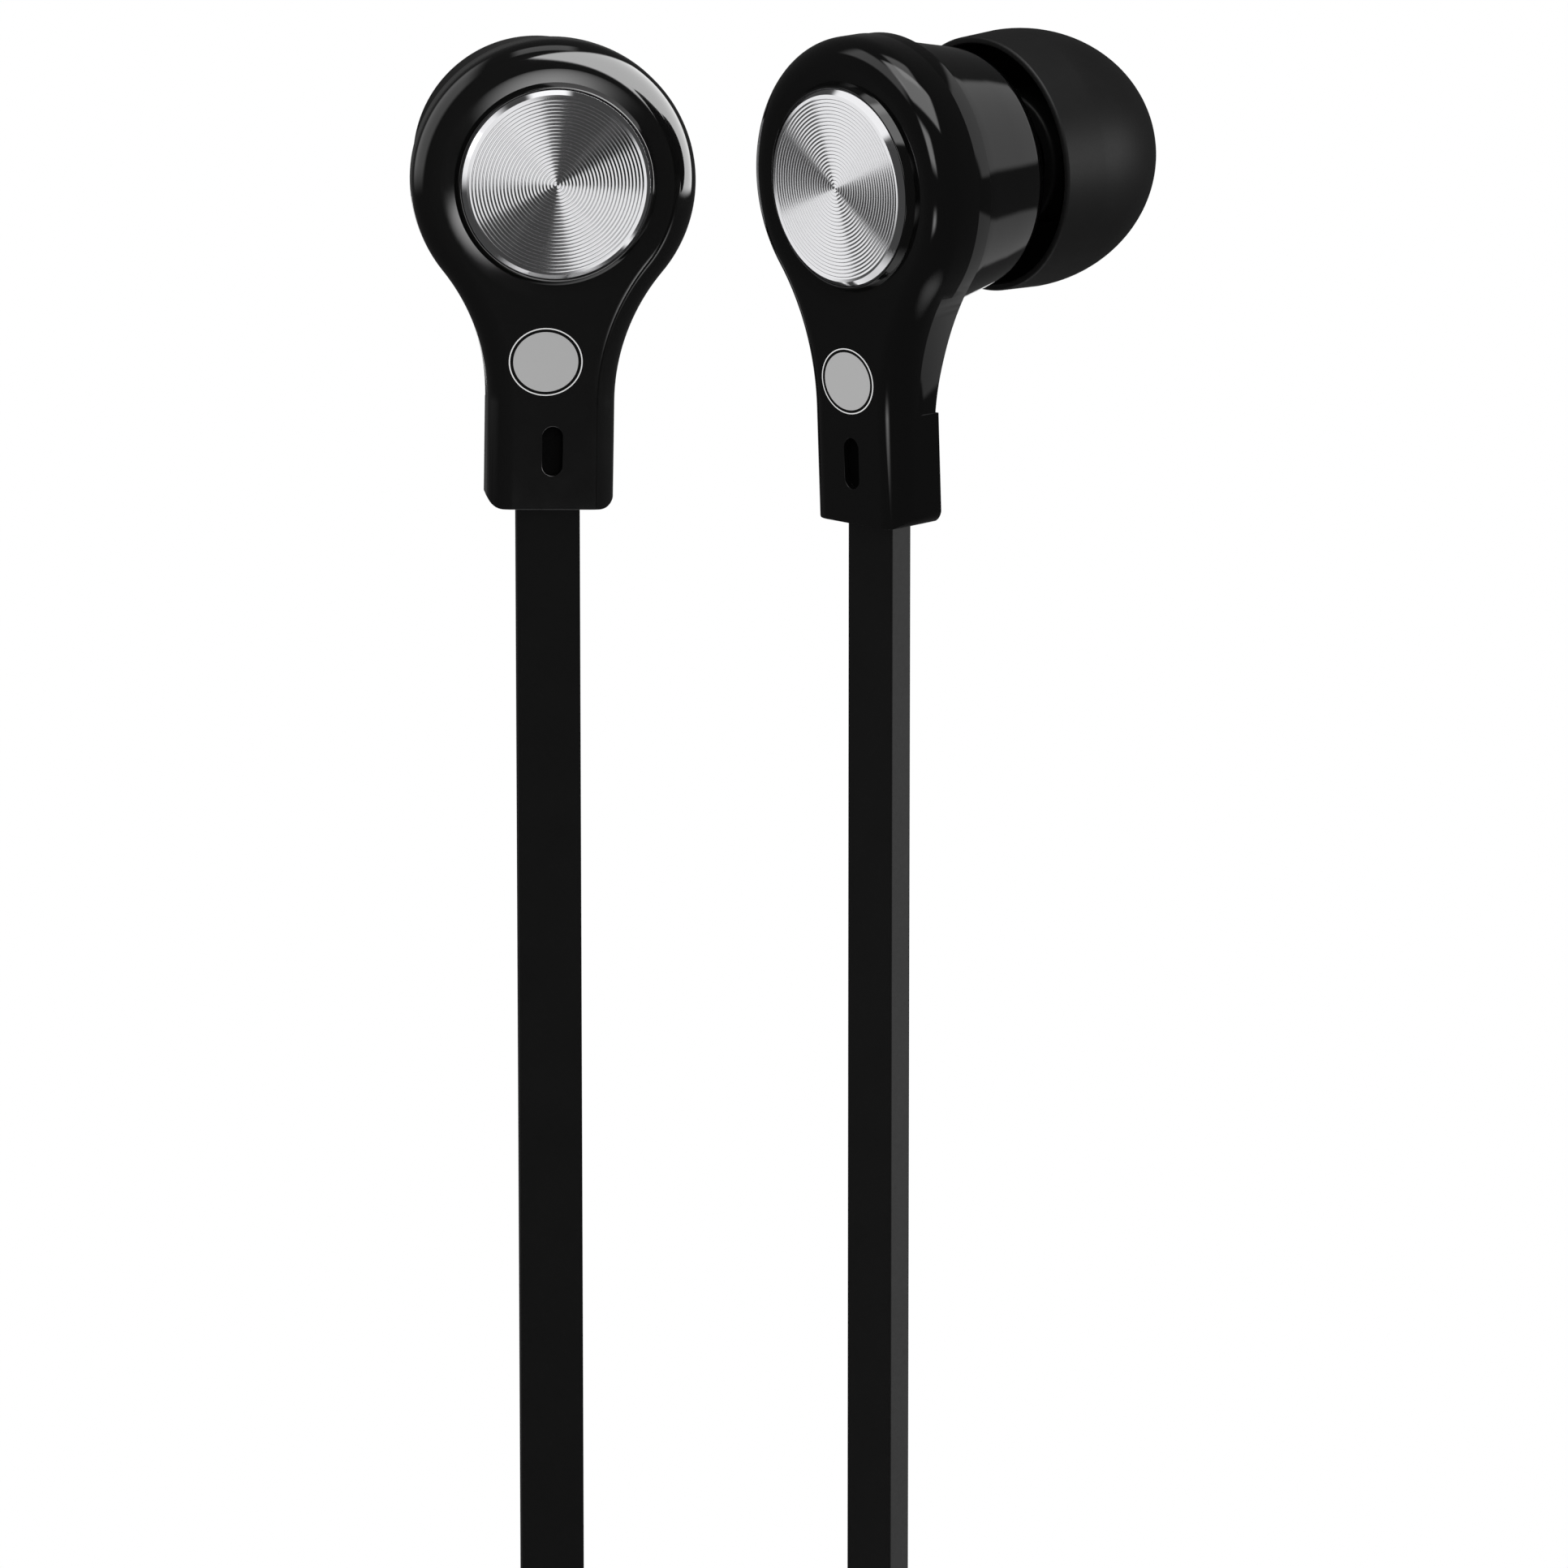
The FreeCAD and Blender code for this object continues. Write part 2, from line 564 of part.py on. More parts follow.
class Route:
    """A cord's centre line as runs and arcs, each tangent to the last."""

    def __init__(self, start, heading):
        self.spot, self.heading = start, heading
        self.edges, self.radii = [], []

    def right(self):
        """The direction to the right of travel, in the plane of the turns."""
        return Vector(0, self.heading.z, -self.heading.y)

    def forward(self, length):
        end = self.spot + self.heading * length
        self.edges.append(Part.LineSegment(self.spot, end).toShape())
        self.spot = end

    def bend(self, radius, degrees):
        """An arc to the right, or to the left where the angle is negative."""
        centre = self.spot + self.right() * math.copysign(radius, degrees)
        axis = Vector(1, 0, 0)
        ends = [Rotation(axis, -degrees * share).multVec(self.spot - centre) + centre for share in (0.5, 1)]
        self.edges.append(Part.Arc(self.spot, ends[0], ends[1]).toShape())
        self.radii.append(radius)
        self.heading = Rotation(axis, -degrees).multVec(self.heading)
        self.spot = ends[1]

    def half_turn(self, radius, across=0.0):
        """Half a turn to the right, which also climbs across to another layer."""
        over = self.right() * (2 * radius) + Vector(across, 0, 0)
        middle = self.spot + over * 0.5 + self.heading * (over.Length / 2)
        self.edges.append(Part.Arc(self.spot, middle, self.spot + over).toShape())
        self.radii.append(over.Length / 2)
        self.spot = self.spot + over
        self.heading = self.heading * -1

    def sidestep(self, length, across):
        """Two equal arcs that carry the cord sideways, across the plane of the turns."""
        over = self.heading * length + Vector(across, 0, 0)
        half_angle = math.atan2(abs(across), length)
        radius = over.Length / (4 * math.sin(half_angle))
        side = Vector(math.copysign(1, across), 0, 0)
        bulge = (side * length - self.heading * abs(across)).normalize() * (
            radius * (1 - math.cos(half_angle)))
        for way in (-1, 1):
            end = self.spot + over * 0.5
            middle = (self.spot + end) * 0.5 + bulge * way
            self.edges.append(Part.Arc(self.spot, middle, end).toShape())
            self.spot = end
        self.radii += [radius, radius]

    def wire(self):
        return Part.Wire(self.edges)


def ribbon(route, start, heading):
    """The flat cord swept along a route, its width always along x."""
    thick_way = Vector(0, heading.z, -heading.y)
    corners = [start + Vector(x * WIDTH / 2, 0, 0) + thick_way * (y * THICK / 2)
               for x, y in ((-1, -1), (1, -1), (1, 1), (-1, 1), (-1, -1))]
    shell = Part.BRepOffsetAPI.MakePipeShell(route.wire())
    shell.setBiNormalMode(Vector(1, 0, 0))
    shell.add(Part.makePolygon(corners))
    shell.build()
    shell.makeSolid()
    return shell.shape()


def least_gap(route):
    """The least gap of a wound ribbon to itself, measured on points of its centre line."""
    spots = []
    travel = 0.0
    for edge in route.edges:
        steps = max(2, int(edge.Length / 1.5))
        for spot in edge.discretize(steps + 1)[:-1]:
            spots.append((travel, spot))
            travel += edge.Length / steps
    least = math.inf
    apart = 4 * WIDTH
    for index, (near, spot) in enumerate(spots):
        for far, other in spots[index + 1:]:
            if far - near < apart:
                continue
            across = max(abs(spot.x - other.x) - WIDTH, 0)
            away = max(math.hypot(spot.y - other.y, spot.z - other.z) - THICK, 0)
            least = min(least, math.hypot(across, away))
    return least


DOWN, UP = Vector(0, 0, -1), Vector(0, 0, 1)
ring, bend, step = float(S.ring_radius), float(S.entry_radius), float(S.turn_pitch) / 2
layer = float(S.layer_pitch)
coil_top = -float(S.straight_end) - float(S.draw_length)
entry_angle = math.degrees(math.asin(bend / (bend + ring)))
entry_drop = math.sqrt(ring ** 2 + 2 * ring * bend)
ring_middle = coil_top - entry_drop


def join_ring(route):
    """From straight down, out to one side and on to the outer turn, down to its lowest point."""
    route.bend(bend, entry_angle - 90)
    route.bend(ring, 180 - entry_angle)


def report(name, route, solid):
    """Prints what a swept cord measures."""
    length = sum(edge.Length for edge in route.edges)
    print(f"{name}: {length:.1f} mm, volume {solid.Volume:.1f} for {length * WIDTH * THICK:.1f}, "
          f"least radius {min(route.radii):.1f} mm, {len(route.radii)} arcs")
    return length


def lead(side, way, place, turned_by):
    """A lead's free stretch: straight down from the stem, then drawn in and turned square to the rack."""
    start = rack.inverse().multVec(place.multVec(exit_spot))
    start.x, start.y = way * float(S.lead_gap) / 2, 0
    route = Route(start, DOWN)
    route.forward(start.z + float(S.straight_end))
    straight = len(route.edges)
    outer = way * layer * 2.5
    route.sidestep(float(S.draw_length), outer - start.x)
    corners = ((-1, -1), (1, -1), (1, 1), (-1, 1), (-1, -1))
    top = [rack.inverse().multVec(place.multVec(
        exit_spot + Vector(x * WIDTH / 2, y * THICK / 2, 0))) for x, y in corners]
    stations = [Part.makePolygon(top)]
    spots = [start + DOWN, Vector(start.x, 0, -float(S.straight_end))]
    for edge in route.edges[straight:]:
        spots += edge.discretize(5)[1:]
    high, low = -float(S.straight_end), coil_top
    for spot in spots:
        share = min(max((high - spot.z) / (high - low), 0), 1)
        share = share * share * (3 - 2 * share)
        angle = turned_by * (1 - share)
        turn = Rotation(Vector(0, 0, 1), angle)
        stations.append(Part.makePolygon(
            [spot + turn.multVec(Vector(x * WIDTH / 2, y * THICK / 2, 0)) for x, y in corners]))
    solid = Part.makeLoft(stations, True, True)
    formed(f"{side}_lead", solid, rack)
    return report(f"{side}_lead", route, solid)


def lead_coil(side, way):
    """A lead's turns: one layer in, one out, then up beside the ring and in to the splitter."""
    start = Vector(way * layer * 2.5, 0, coil_top)
    route = Route(start, DOWN)
    join_ring(route)
    route.half_turn(ring - step)
    route.half_turn(ring - 2 * step, -way * layer)
    route.bend(ring - step, 90)
    route.forward(float(S.split_clear))
    route.sidestep(split_foot - float(S.split_clear) - route.spot.z, -way * layer)
    route.forward(split_foot - route.spot.z)
    solid = ribbon(route, start, DOWN)
    formed(f"{side}_coil", solid, rack)
    print(f"{side}_coil least gap to itself {least_gap(route):.2f} mm")
    return route, report(f"{side}_coil", route, solid)


split_foot = ring_middle + ring - float(S.turn_pitch) / 2
split_head = split_foot + float(S.split_length)
split_across = -(ring - step)
IN_TURNS = 8  # half turns in, and as many out again


def main_lead():
    """The main cord from the splitter, over and down between the leads."""
    start = Vector(0, split_across, split_head)
    route = Route(start, UP)
    route.forward(float(S.split_clear))
    route.half_turn(-split_across / 2, -layer / 2)
    route.forward(route.spot.z - coil_top)
    solid = ribbon(route, start, UP)
    formed("main_lead", solid, rack)
    return report("main_lead", route, solid)


def main_coil():
    """The main cord's turns: spiral in, climb a layer, spiral out."""
    start = Vector(-layer / 2, 0, coil_top)
    route = Route(start, DOWN)
    join_ring(route)
    for turn in range(1, IN_TURNS + 1):
        route.half_turn(ring - turn * step)
    route.half_turn(ring - (IN_TURNS + 1) * step, layer)
    for turn in range(IN_TURNS, 0, -1):
        route.half_turn(ring - turn * step)
    solid = ribbon(route, start, DOWN)
    formed("main_coil", solid, rack)
    print(f"main_coil least gap to itself {least_gap(route):.2f} mm")
    return route, report("main_coil", route, solid)


def plug_lead(start):
    """The main cord's end: off the top of the turns and down beside them to the plug."""
    route = Route(start, Vector(0, 1, 0))
    route.forward(plug_across - bend)
    route.bend(bend, 90)
    route.forward(float(S.split_clear))
    solid = ribbon(route, start, Vector(0, 1, 0))
    formed("plug_lead", solid, rack)
    return route.spot, report("plug_lead", route, solid)


def splitter():
    """Two moulded halves that clamp both leads below and the main cord above."""
    thick = float(S.split_thick)
    ends = []
    for wide, high in ((float(S.split_wide), split_foot), (float(S.split_narrow), split_head)):
        edge = float(S.split_round)
        face = Part.Face(Part.makePolygon([Vector(x * wide / 2, split_across + y * thick / 2, high)
                                           for x, y in ((-1, -1), (1, -1), (1, 1), (-1, 1), (-1, -1))]))
        ends.append(face.OuterWire)
    body = Part.makeLoft(ends, True, True)
    long_edges = [item for item in body.Edges
                  if abs(item.Vertexes[0].Z - item.Vertexes[-1].Z) > float(S.split_length) / 2]
    body = body.makeFillet(edge, long_edges)
    far = float(S.split_wide)
    for name, way in (("front", -1), ("back", 1)):
        side = block(Vector(-far, min(0, way * far) + split_across, split_foot - 1),
                     Vector(far, max(0, way * far) + split_across, split_head + 1))
        formed(f"splitter_{name}", body.common(side), rack)


def plug(spot):
    """The 3.5 mm plug, pointing down: ridged strain relief, handle, collar, and the pin's contacts."""
    place = rack * Placement(spot, Rotation(Vector(1, 0, 0), -90))
    thin, thick = S.relief_radius, S.handle_radius
    relief = [(0, 0), (thin, 0)]
    ridges = int(float(S.ridge_count))
    for ridge in range(ridges):
        near = S.relief_length * ((ridge + 0.5) / (ridges + 0.5))
        far = S.relief_length * ((ridge + 0.8) / (ridges + 0.5))
        grow = thin + (thick - S.relief_step - thin) * (ridge / ridges)
        relief += [(grow + S.ridge_height, near), (grow + S.ridge_height, far), (grow, far)]
    relief += [(thick - S.relief_step, S.relief_length), (0, S.relief_length)]
    turned("plug_relief", relief, place)
    foot = S.relief_length
    top = foot + S.handle_length
    turned("plug_handle", [
        (0, foot), (thick - S.handle_round, foot), (thick, foot + S.handle_run),
        (thick, top - S.handle_run), (thick - S.handle_round, top), (0, top),
    ], place)
    pin = top + S.collar_length
    turned("plug_collar", [(0, top), (S.collar_radius, top), (S.collar_radius, pin), (0, pin)], place)
    band, gap = S.contact_length, S.insulator_length
    ring_far = pin + S.plug_reach - S.contact_length - S.contact_length * 0.5
    sleeve_end = ring_far - band - gap
    marks = [("plug_sleeve", pin, sleeve_end), ("plug_ring", sleeve_end + gap, ring_far)]
    for name, near, far in marks:
        turned(name, [(0, near), (S.plug_radius, near), (S.plug_radius, far), (0, far)], place)
    washers = []
    for near in (sleeve_end, ring_far):
        base = float(near)
        washers.append(spun([(0, base), (float(S.plug_radius), base),
                             (float(S.plug_radius), base + float(gap)), (0, base + float(gap))]))
    formed("plug_insulators", Part.makeCompound(washers), place)
    nose = ring_far + gap
    tip = pin + S.plug_reach
    turned("plug_tip", [
        (0, nose), (S.plug_radius, nose), (S.plug_radius - S.nose_neck, nose + S.neck_run),
        (S.plug_radius - S.nose_crest, nose + S.crest_run), (S.plug_radius - S.nose_round, tip), (0, tip),
    ], place)


def cable_tie(routes):
    """The band round all the turns at their lowest point."""
    heights = [spot.z for route in routes for edge in route.edges for spot in edge.discretize(40)
               if abs(spot.y) < float(S.tie_width) / 2 and spot.z < ring_middle]
    room = THICK / 2 + float(S.tie_gap)
    low, high = min(heights) - room, max(heights) + room
    half = layer * 2.5 + WIDTH / 2 + float(S.tie_gap)
    thick, wide = float(S.tie_thick), float(S.tie_width) / 2
    band = block(Vector(-half - thick, -wide, low - thick), Vector(half + thick, wide, high + thick))
    across = [edge for edge in band.Edges if abs(edge.Vertexes[0].Y - edge.Vertexes[-1].Y) > wide]
    band = band.makeFillet(thick * 1.5, across)
    formed("cable_tie", band.cut(block(Vector(-half, -wide - 1, low), Vector(half, wide + 1, high))), rack)


plug_across = ring + THICK / 2 + float(S.handle_radius) + float(S.tie_gap)

left_free = lead("left", -1, left_bud, swing)
right_free = lead("right", 1, right_bud, swing - float(S.right_swing))
left_turns, left_wound = lead_coil("left", -1)
right_turns, right_wound = lead_coil("right", 1)
main_free = main_lead()
main_turns, main_wound = main_coil()
plug_spot, plug_free = plug_lead(main_turns.spot)
splitter()
plug(plug_spot)
cable_tie([left_turns, right_turns, main_turns])
print(f"left lead {left_free + left_wound:.0f} mm, right lead {right_free + right_wound:.0f} mm, "
      f"main cord {main_free + main_wound + plug_free:.0f} mm")

doc.recompute()
os.makedirs("parts", exist_ok=True)
for item in doc.Objects:
    if "Invalid" in item.State or "Error" in item.State:
        raise RuntimeError(f"{item.Label} failed: {item.State}")
for piece in pieces:
    if piece.Shape.isNull() or not piece.Shape.isValid() or not piece.Shape.Solids:
        raise RuntimeError(f"{piece.Label} has no valid solid")
for piece in pieces:
    piece.Shape.exportStep(f"parts/{piece.Label}.step")
print(len(pieces), "pieces")
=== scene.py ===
# %% [markdown]
# # Dressing a pair of wired earphones
#
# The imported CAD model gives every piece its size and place. This script gives the pieces that show
# their finish: piano-black housings, spun metal discs, silicone tips and a flat cord. All shapes are
# made in millimetres, in a bud's own frame or in the wound cord's, which is how such a part is drawn.
# They are moved and scaled to metres once, when a piece is finished.

# %% Tools and the frame
import json
import math

import bmesh
import bpy
from mathutils import Matrix, Vector

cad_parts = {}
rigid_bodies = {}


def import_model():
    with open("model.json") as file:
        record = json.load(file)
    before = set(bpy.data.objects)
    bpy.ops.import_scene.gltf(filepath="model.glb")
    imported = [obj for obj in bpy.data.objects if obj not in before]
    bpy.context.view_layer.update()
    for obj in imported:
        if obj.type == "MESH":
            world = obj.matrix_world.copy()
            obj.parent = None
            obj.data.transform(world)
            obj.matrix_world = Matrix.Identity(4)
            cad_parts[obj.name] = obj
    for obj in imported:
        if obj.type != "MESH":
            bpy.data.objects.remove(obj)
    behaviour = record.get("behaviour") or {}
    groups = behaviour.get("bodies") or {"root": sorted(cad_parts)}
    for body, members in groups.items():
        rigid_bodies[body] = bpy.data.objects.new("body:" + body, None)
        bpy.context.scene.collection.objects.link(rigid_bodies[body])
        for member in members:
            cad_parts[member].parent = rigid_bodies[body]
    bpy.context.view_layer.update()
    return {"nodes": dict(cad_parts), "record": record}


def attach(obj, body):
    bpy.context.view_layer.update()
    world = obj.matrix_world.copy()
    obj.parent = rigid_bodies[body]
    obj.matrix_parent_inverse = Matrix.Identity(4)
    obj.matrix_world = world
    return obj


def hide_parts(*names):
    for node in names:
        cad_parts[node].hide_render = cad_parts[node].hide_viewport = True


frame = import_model()
MM = 0.001
ROOT = "earphones"

# %% [markdown]
# ## Where the buds are
#
# Each bud is drawn in its own frame: the origin in the middle of the metal disc's front, +Y along the
# sound nozzle and +Z up. The record's two ear seats say where the tips end and which way the nozzles
# point. Only the lean about the nozzle, one degree or less, is added here.

# %% Places of the buds
SEAT = 17.3


def bud_place(seat_name, lean):
    """The matrix from a bud's own millimetres to the frame's metres. Its lean is in degrees."""
    seat = next(item for item in frame["record"]["mounts"] if item["name"] == seat_name)
    nozzle = Vector(seat["axis"]).normalized()
    yaw, tilt = math.atan2(nozzle.x, nozzle.y), math.asin(nozzle.z)
    turn = Matrix.Rotation(-yaw, 4, "Z") @ Matrix.Rotation(tilt, 4, "X")
    turn = turn @ Matrix.Rotation(math.radians(lean), 4, "Y")
    front = Vector(seat["pos_m"]) - nozzle * SEAT * MM
    return Matrix.Translation(front) @ turn @ Matrix.Scale(MM, 4)


BUDS = {"left": bud_place("left_ear_seat", 1.0), "right": bud_place("right_ear_seat", 0.7)}
for side, place in BUDS.items():
    print(side, "disc at", [round(number / MM, 2) for number in place.translation])

# %% [markdown]
# ## The camera
#
# The buds were photographed from a little above and a little left of the left one's axis, from far
# enough away that the leads stay parallel. A long lens from 45 cm does that, with a picture 75 mm
# wide at the buds.

# %% Camera
CAMERA_REACH = 450.0
CAMERA_LENS = 216.0
CAMERA_SIDE = 6.4
CAMERA_RISE = 10.1
CAMERA_AIM = Vector((10.24, -23.46, -28.2))

scene = bpy.context.scene
camera = bpy.data.objects.new("camera", bpy.data.cameras.new("camera"))
camera.data.lens = CAMERA_LENS
camera.data.clip_start = 0.01
side, rise = math.radians(CAMERA_SIDE), math.radians(CAMERA_RISE)
back = Vector((-math.sin(side) * math.cos(rise), -math.cos(side) * math.cos(rise), math.sin(rise)))
camera.location = (CAMERA_AIM + back * CAMERA_REACH) * MM
camera.rotation_euler = back.to_track_quat("Z", "Y").to_euler()
scene.collection.objects.link(camera)
scene.camera = camera
scene.view_settings.view_transform = "Standard"
print("camera at", [round(number / MM, 1) for number in camera.location])

# %% [markdown]
# ## Colours and nodes
#
# Colours are written as they are picked on a screen, so one function turns them into the linear
# values that shaders work with. One more adds a node with its settings and its links, and a third
# starts a material.

# %% Helpers for materials


def tint(hex_colour):
    """A screen colour such as 1A1A1A as linear red, green, blue and alpha."""
    parts = [int(hex_colour[spot:spot + 2], 16) / 255 for spot in (0, 2, 4)]
    linear = [part / 12.92 if part <= 0.04045 else ((part + 0.055) / 1.055) ** 2.4 for part in parts]
    return (*linear, 1.0)


def add(tree, kind, settings=None, **links):
    """Adds a node. Settings go to the node or, by input name, to its sockets; links name inputs."""
    node = tree.nodes.new(kind)
    for name, value in (settings or {}).items():
        if hasattr(node, name):
            setattr(node, name, value)
        else:
            node.inputs[name].default_value = value
    for name, output in links.items():
        tree.links.new(output, node.inputs[name.replace("_", " ")])
    return node


def new_material(name, **sockets):
    """A material with only its Principled shader, whose sockets are set by name."""
    material = bpy.data.materials.new(name)
    material.use_nodes = True
    shader = material.node_tree.nodes["Principled BSDF"]
    for socket, value in sockets.items():
        shader.inputs[socket.replace("_", " ")].default_value = value
    return material, material.node_tree, shader


print("a mid grey in linear light:", round(tint("808080")[0], 3))

# %% [markdown]
# ## Grains
#
# No real surface is even. Moulding, wiping, blasting or cutting leaves a grain that moves the gloss,
# and mostly the colour and the height as well. So one function makes a finish from the real size of
# its grains. Each is noise on the object's own coordinates, so that it stays on the piece.

# %% A finish with grains


def grained(name, dark, light, rough, gloss, colour=None, height=None, depth=0.0, **sockets):
    """A finish between two colours and two roughnesses, with a relief of a depth in millimetres.

    A grain is its size in millimetres, its detail and its sharpness. Colour and height have the
    gloss's grain unless they are given their own.
    """
    material, tree, shader = new_material(name, **sockets)
    spot = add(tree, "ShaderNodeTexCoord")
    colour, height = colour or gloss, height or gloss
    fields = {}
    for size, detail, sharpness in dict.fromkeys((gloss, colour, height)):
        noise = add(tree, "ShaderNodeTexNoise",
                    {"Scale": 1 / (size * MM), "Detail": detail, "Roughness": sharpness},
                    Vector=spot.outputs["Object"])
        fields[size, detail, sharpness] = noise.outputs["Fac"]
    shader.inputs["Base Color"].default_value = tint(dark)
    if light != dark:
        mix = add(tree, "ShaderNodeMix", {"data_type": "RGBA", "A": tint(dark), "B": tint(light)},
                  Factor=fields[colour])
        tree.links.new(mix.outputs["Result"], shader.inputs["Base Color"])
    spread = add(tree, "ShaderNodeMapRange", {"To Min": rough[0], "To Max": rough[1]},
                 Value=fields[gloss])
    tree.links.new(spread.outputs["Result"], shader.inputs["Roughness"])
    if depth:
        bump = add(tree, "ShaderNodeBump", {"Strength": 1.0, "Distance": depth * MM},
                   Height=fields[height])
        tree.links.new(bump.outputs["Normal"], shader.inputs["Normal"])
    return material


print("a grain moves: Roughness, Base Color, Normal")

# %% [markdown]
# ## Piano-black ABS
#
# The housings are black ABS from a mirror-polished mould. The eye gets almost no colour from it, only
# sharp reflections. So the base is close to black, the roughness close to nothing, and the detail is
# in the faint waviness that every moulded wall has and in haze where fingers have wiped it.

# %% Finish of the housings
WIPES = (1.4, 6.0, 0.65)
WAVES = (2.6, 1.0, 0.5)
WAVE_DEPTH = 0.0012

piano_abs = grained("piano_black_abs", "040404", "040404", (0.03, 0.1), WIPES, height=WAVES,
                    depth=WAVE_DEPTH, IOR=1.53)
print("materials:", piano_abs.name)

# %% [markdown]
# ## Spun aluminium
#
# The disc is turned with a pointed tool, which leaves one fine groove per turn of the lathe. The
# grooves are real shapes on the disc, made further down. This finish adds what is finer than a
# groove: circular scratches that stretch each highlight across the grooves, and rings that took the
# tool a little differently. It reads a UV map with the turn in U and the radius in V.

# %% Finish of the discs
SCRATCH_WIDTH = 0.035
SCRATCHES_PER_TURN = 0.35

spun_metal, tree, shader = new_material("spun_aluminium", Metallic=1.0, Anisotropic=0.5)
chart = add(tree, "ShaderNodeUVMap", {"uv_map": "turned"})
squeeze = add(tree, "ShaderNodeMapping", {"Scale": (SCRATCHES_PER_TURN, 1 / SCRATCH_WIDTH, 1.0)},
              Vector=chart.outputs["UV"])
scratches = add(tree, "ShaderNodeTexNoise", {"Scale": 1.0, "Detail": 4.0, "Roughness": 0.6},
                Vector=squeeze.outputs["Vector"]).outputs["Fac"]
metal = add(tree, "ShaderNodeMix", {"data_type": "RGBA", "A": tint("C6C6C8"), "B": tint("DADADC")},
            Factor=scratches)
tree.links.new(metal.outputs["Result"], shader.inputs["Base Color"])
spread = add(tree, "ShaderNodeMapRange", {"To Min": 0.08, "To Max": 0.14}, Value=scratches)
tree.links.new(spread.outputs["Result"], shader.inputs["Roughness"])
along = add(tree, "ShaderNodeTangent", {"direction_type": "UV_MAP", "uv_map": "turned"})
tree.links.new(along.outputs["Tangent"], shader.inputs["Tangent"])

cut_metal = grained("diamond_cut_aluminium", "DADADC", "DADADC", (0.05, 0.12), (0.12, 2.0, 0.5),
                    Metallic=1.0)
print("materials:", spun_metal.name, cut_metal.name)

# %% [markdown]
# ## Silicone and the cord's jacket
#
# Silicone tips come out of a blasted mould: matt, a little soft at the edges of a highlight, with dust
# that always sticks to them. The cord's jacket is TPE, a rubbery plastic drawn through a die, so it
# is satin. The moulded splitter and plug are the same plastic, blasted. The vent slot's bottom is
# coloured near black and matt: painted shade that stands for the dark inside of the slot.

# %% Finishes of the soft pieces
BLOTCH = 12


def soft_plastic(name, dark, light, grain, depth, rough, **sockets):
    """A moulded elastomer: a fine grain of a size in millimetres, and blotches in its colour."""
    return grained(name, dark, light, rough, (grain, 5.0, 0.7), colour=(BLOTCH * grain, 2.0, 0.5),
                   depth=depth, **sockets)


silicone = soft_plastic("silicone_rubber", "0E0E0E", "131313", 0.12, 0.004, (0.4, 0.52), IOR=1.41)
jacket = soft_plastic("extruded_tpe", "0A0A0A", "0E0E0E", 0.2, 0.002, (0.34, 0.46), IOR=1.5)
moulding = soft_plastic("blasted_tpe", "121212", "181818", 0.15, 0.006, (0.4, 0.55), IOR=1.5)
band_rubber = soft_plastic("band_rubber", "1E1E1E", "262626", 0.25, 0.01, (0.6, 0.75), IOR=1.52)
# Painted shade: a near-black matt colour for the vent slot's bottom, standing in for the dark inside of
# the slot.
slot_shade_paint = soft_plastic("acoustic_felt", "010101", "020202", 0.1, 0.01, (0.95, 1.0),
                    Specular_IOR_Level=0.02)
print("materials:", silicone.name, jacket.name, moulding.name, band_rubber.name, slot_shade_paint.name)

# %% [markdown]
# ## What the driver and the plug are made of
#
# These pieces hardly show, but they are seen when a tip comes off, from behind, or when the model is
# taken apart: nickel on the magnet, zinc on its steel cup, enamel on the copper coil, gold on the
# plug. Each gets its usual colour, and a grain that suits how it was made.

# %% Finishes of the inner pieces and the plug


def plain_finish(name, dark, light, grain, rough, depth=0.0, **sockets):
    """A finish whose colour, gloss and height all follow one grain of a size in millimetres."""
    return grained(name, dark, light, rough, (grain, 4.0, 0.5), depth=depth, **sockets)


FINISHES = {
    "driver_plastic": plain_finish("glass_filled_pbt", "2A2A2A", "333333", 0.1, (0.45, 0.6), 0.004),
    "driver_steel": plain_finish("zinc_plated_steel", "9C9C98", "B4B4B0", 0.2, (0.25, 0.4),
                                 Metallic=1.0),
    "magnet": plain_finish("nickel_plate", "A8A49C", "B8B4AC", 0.3, (0.12, 0.25), Metallic=1.0),
    "coil_copper": plain_finish("enamelled_copper", "9C4A22", "B86030", 0.06, (0.25, 0.4), 0.01,
                                Metallic=1.0),
    "film": plain_finish("pet_film", "8E8474", "9C9282", 0.3, (0.25, 0.35), IOR=1.57),
    "steel_mesh": plain_finish("woven_steel", "5E5E5E", "8A8A8A", 0.08, (0.3, 0.5), 0.02, Metallic=1.0),
    "wire_jacket": plain_finish("pvc_wire", "8A1A14", "9A221A", 0.2, (0.35, 0.45), IOR=1.53),
    "board": plain_finish("fr4_board", "1C4A2C", "245634", 0.15, (0.3, 0.45), 0.003),
    "plug_metal": plain_finish("anodised_aluminium", "8C8C8E", "9A9A9C", 0.08, (0.28, 0.38),
                               Metallic=1.0),
    "plug_gold": plain_finish("gold_plate", "D8A850", "E2B662", 0.2, (0.1, 0.2), Metallic=1.0),
    "insulator": plain_finish("pom_insulator", "161616", "1C1C1C", 0.2, (0.35, 0.45)),
    "piano_black": piano_abs,
    "spun_aluminium": cut_metal,
    "silicone": silicone,
    "cord": jacket,
    "moulding": moulding,
    "tie_rubber": band_rubber,
}
for part in frame["record"]["subparts"]:
    node = frame["nodes"][part["node"]]
    node.data.materials.clear()
    node.data.materials.append(FINISHES[part["material_slot"]])

# %% [markdown]
# ## Tools for shapes
#
# Most of a bud is turned: a few corners of an outline, spun round the nozzle. Its corners are rounded
# before the spin, by bevelling the outline's vertices, so a real edge gets its own small highlight.
# What isn't turned is cut or joined with the exact Boolean, as a designer would. All of it happens in
# millimetres, where the numbers are friendly to both.

# %% Helpers for shapes
TURN_STEPS = 144
NOZZLE_WAY = (0, 1, 0)


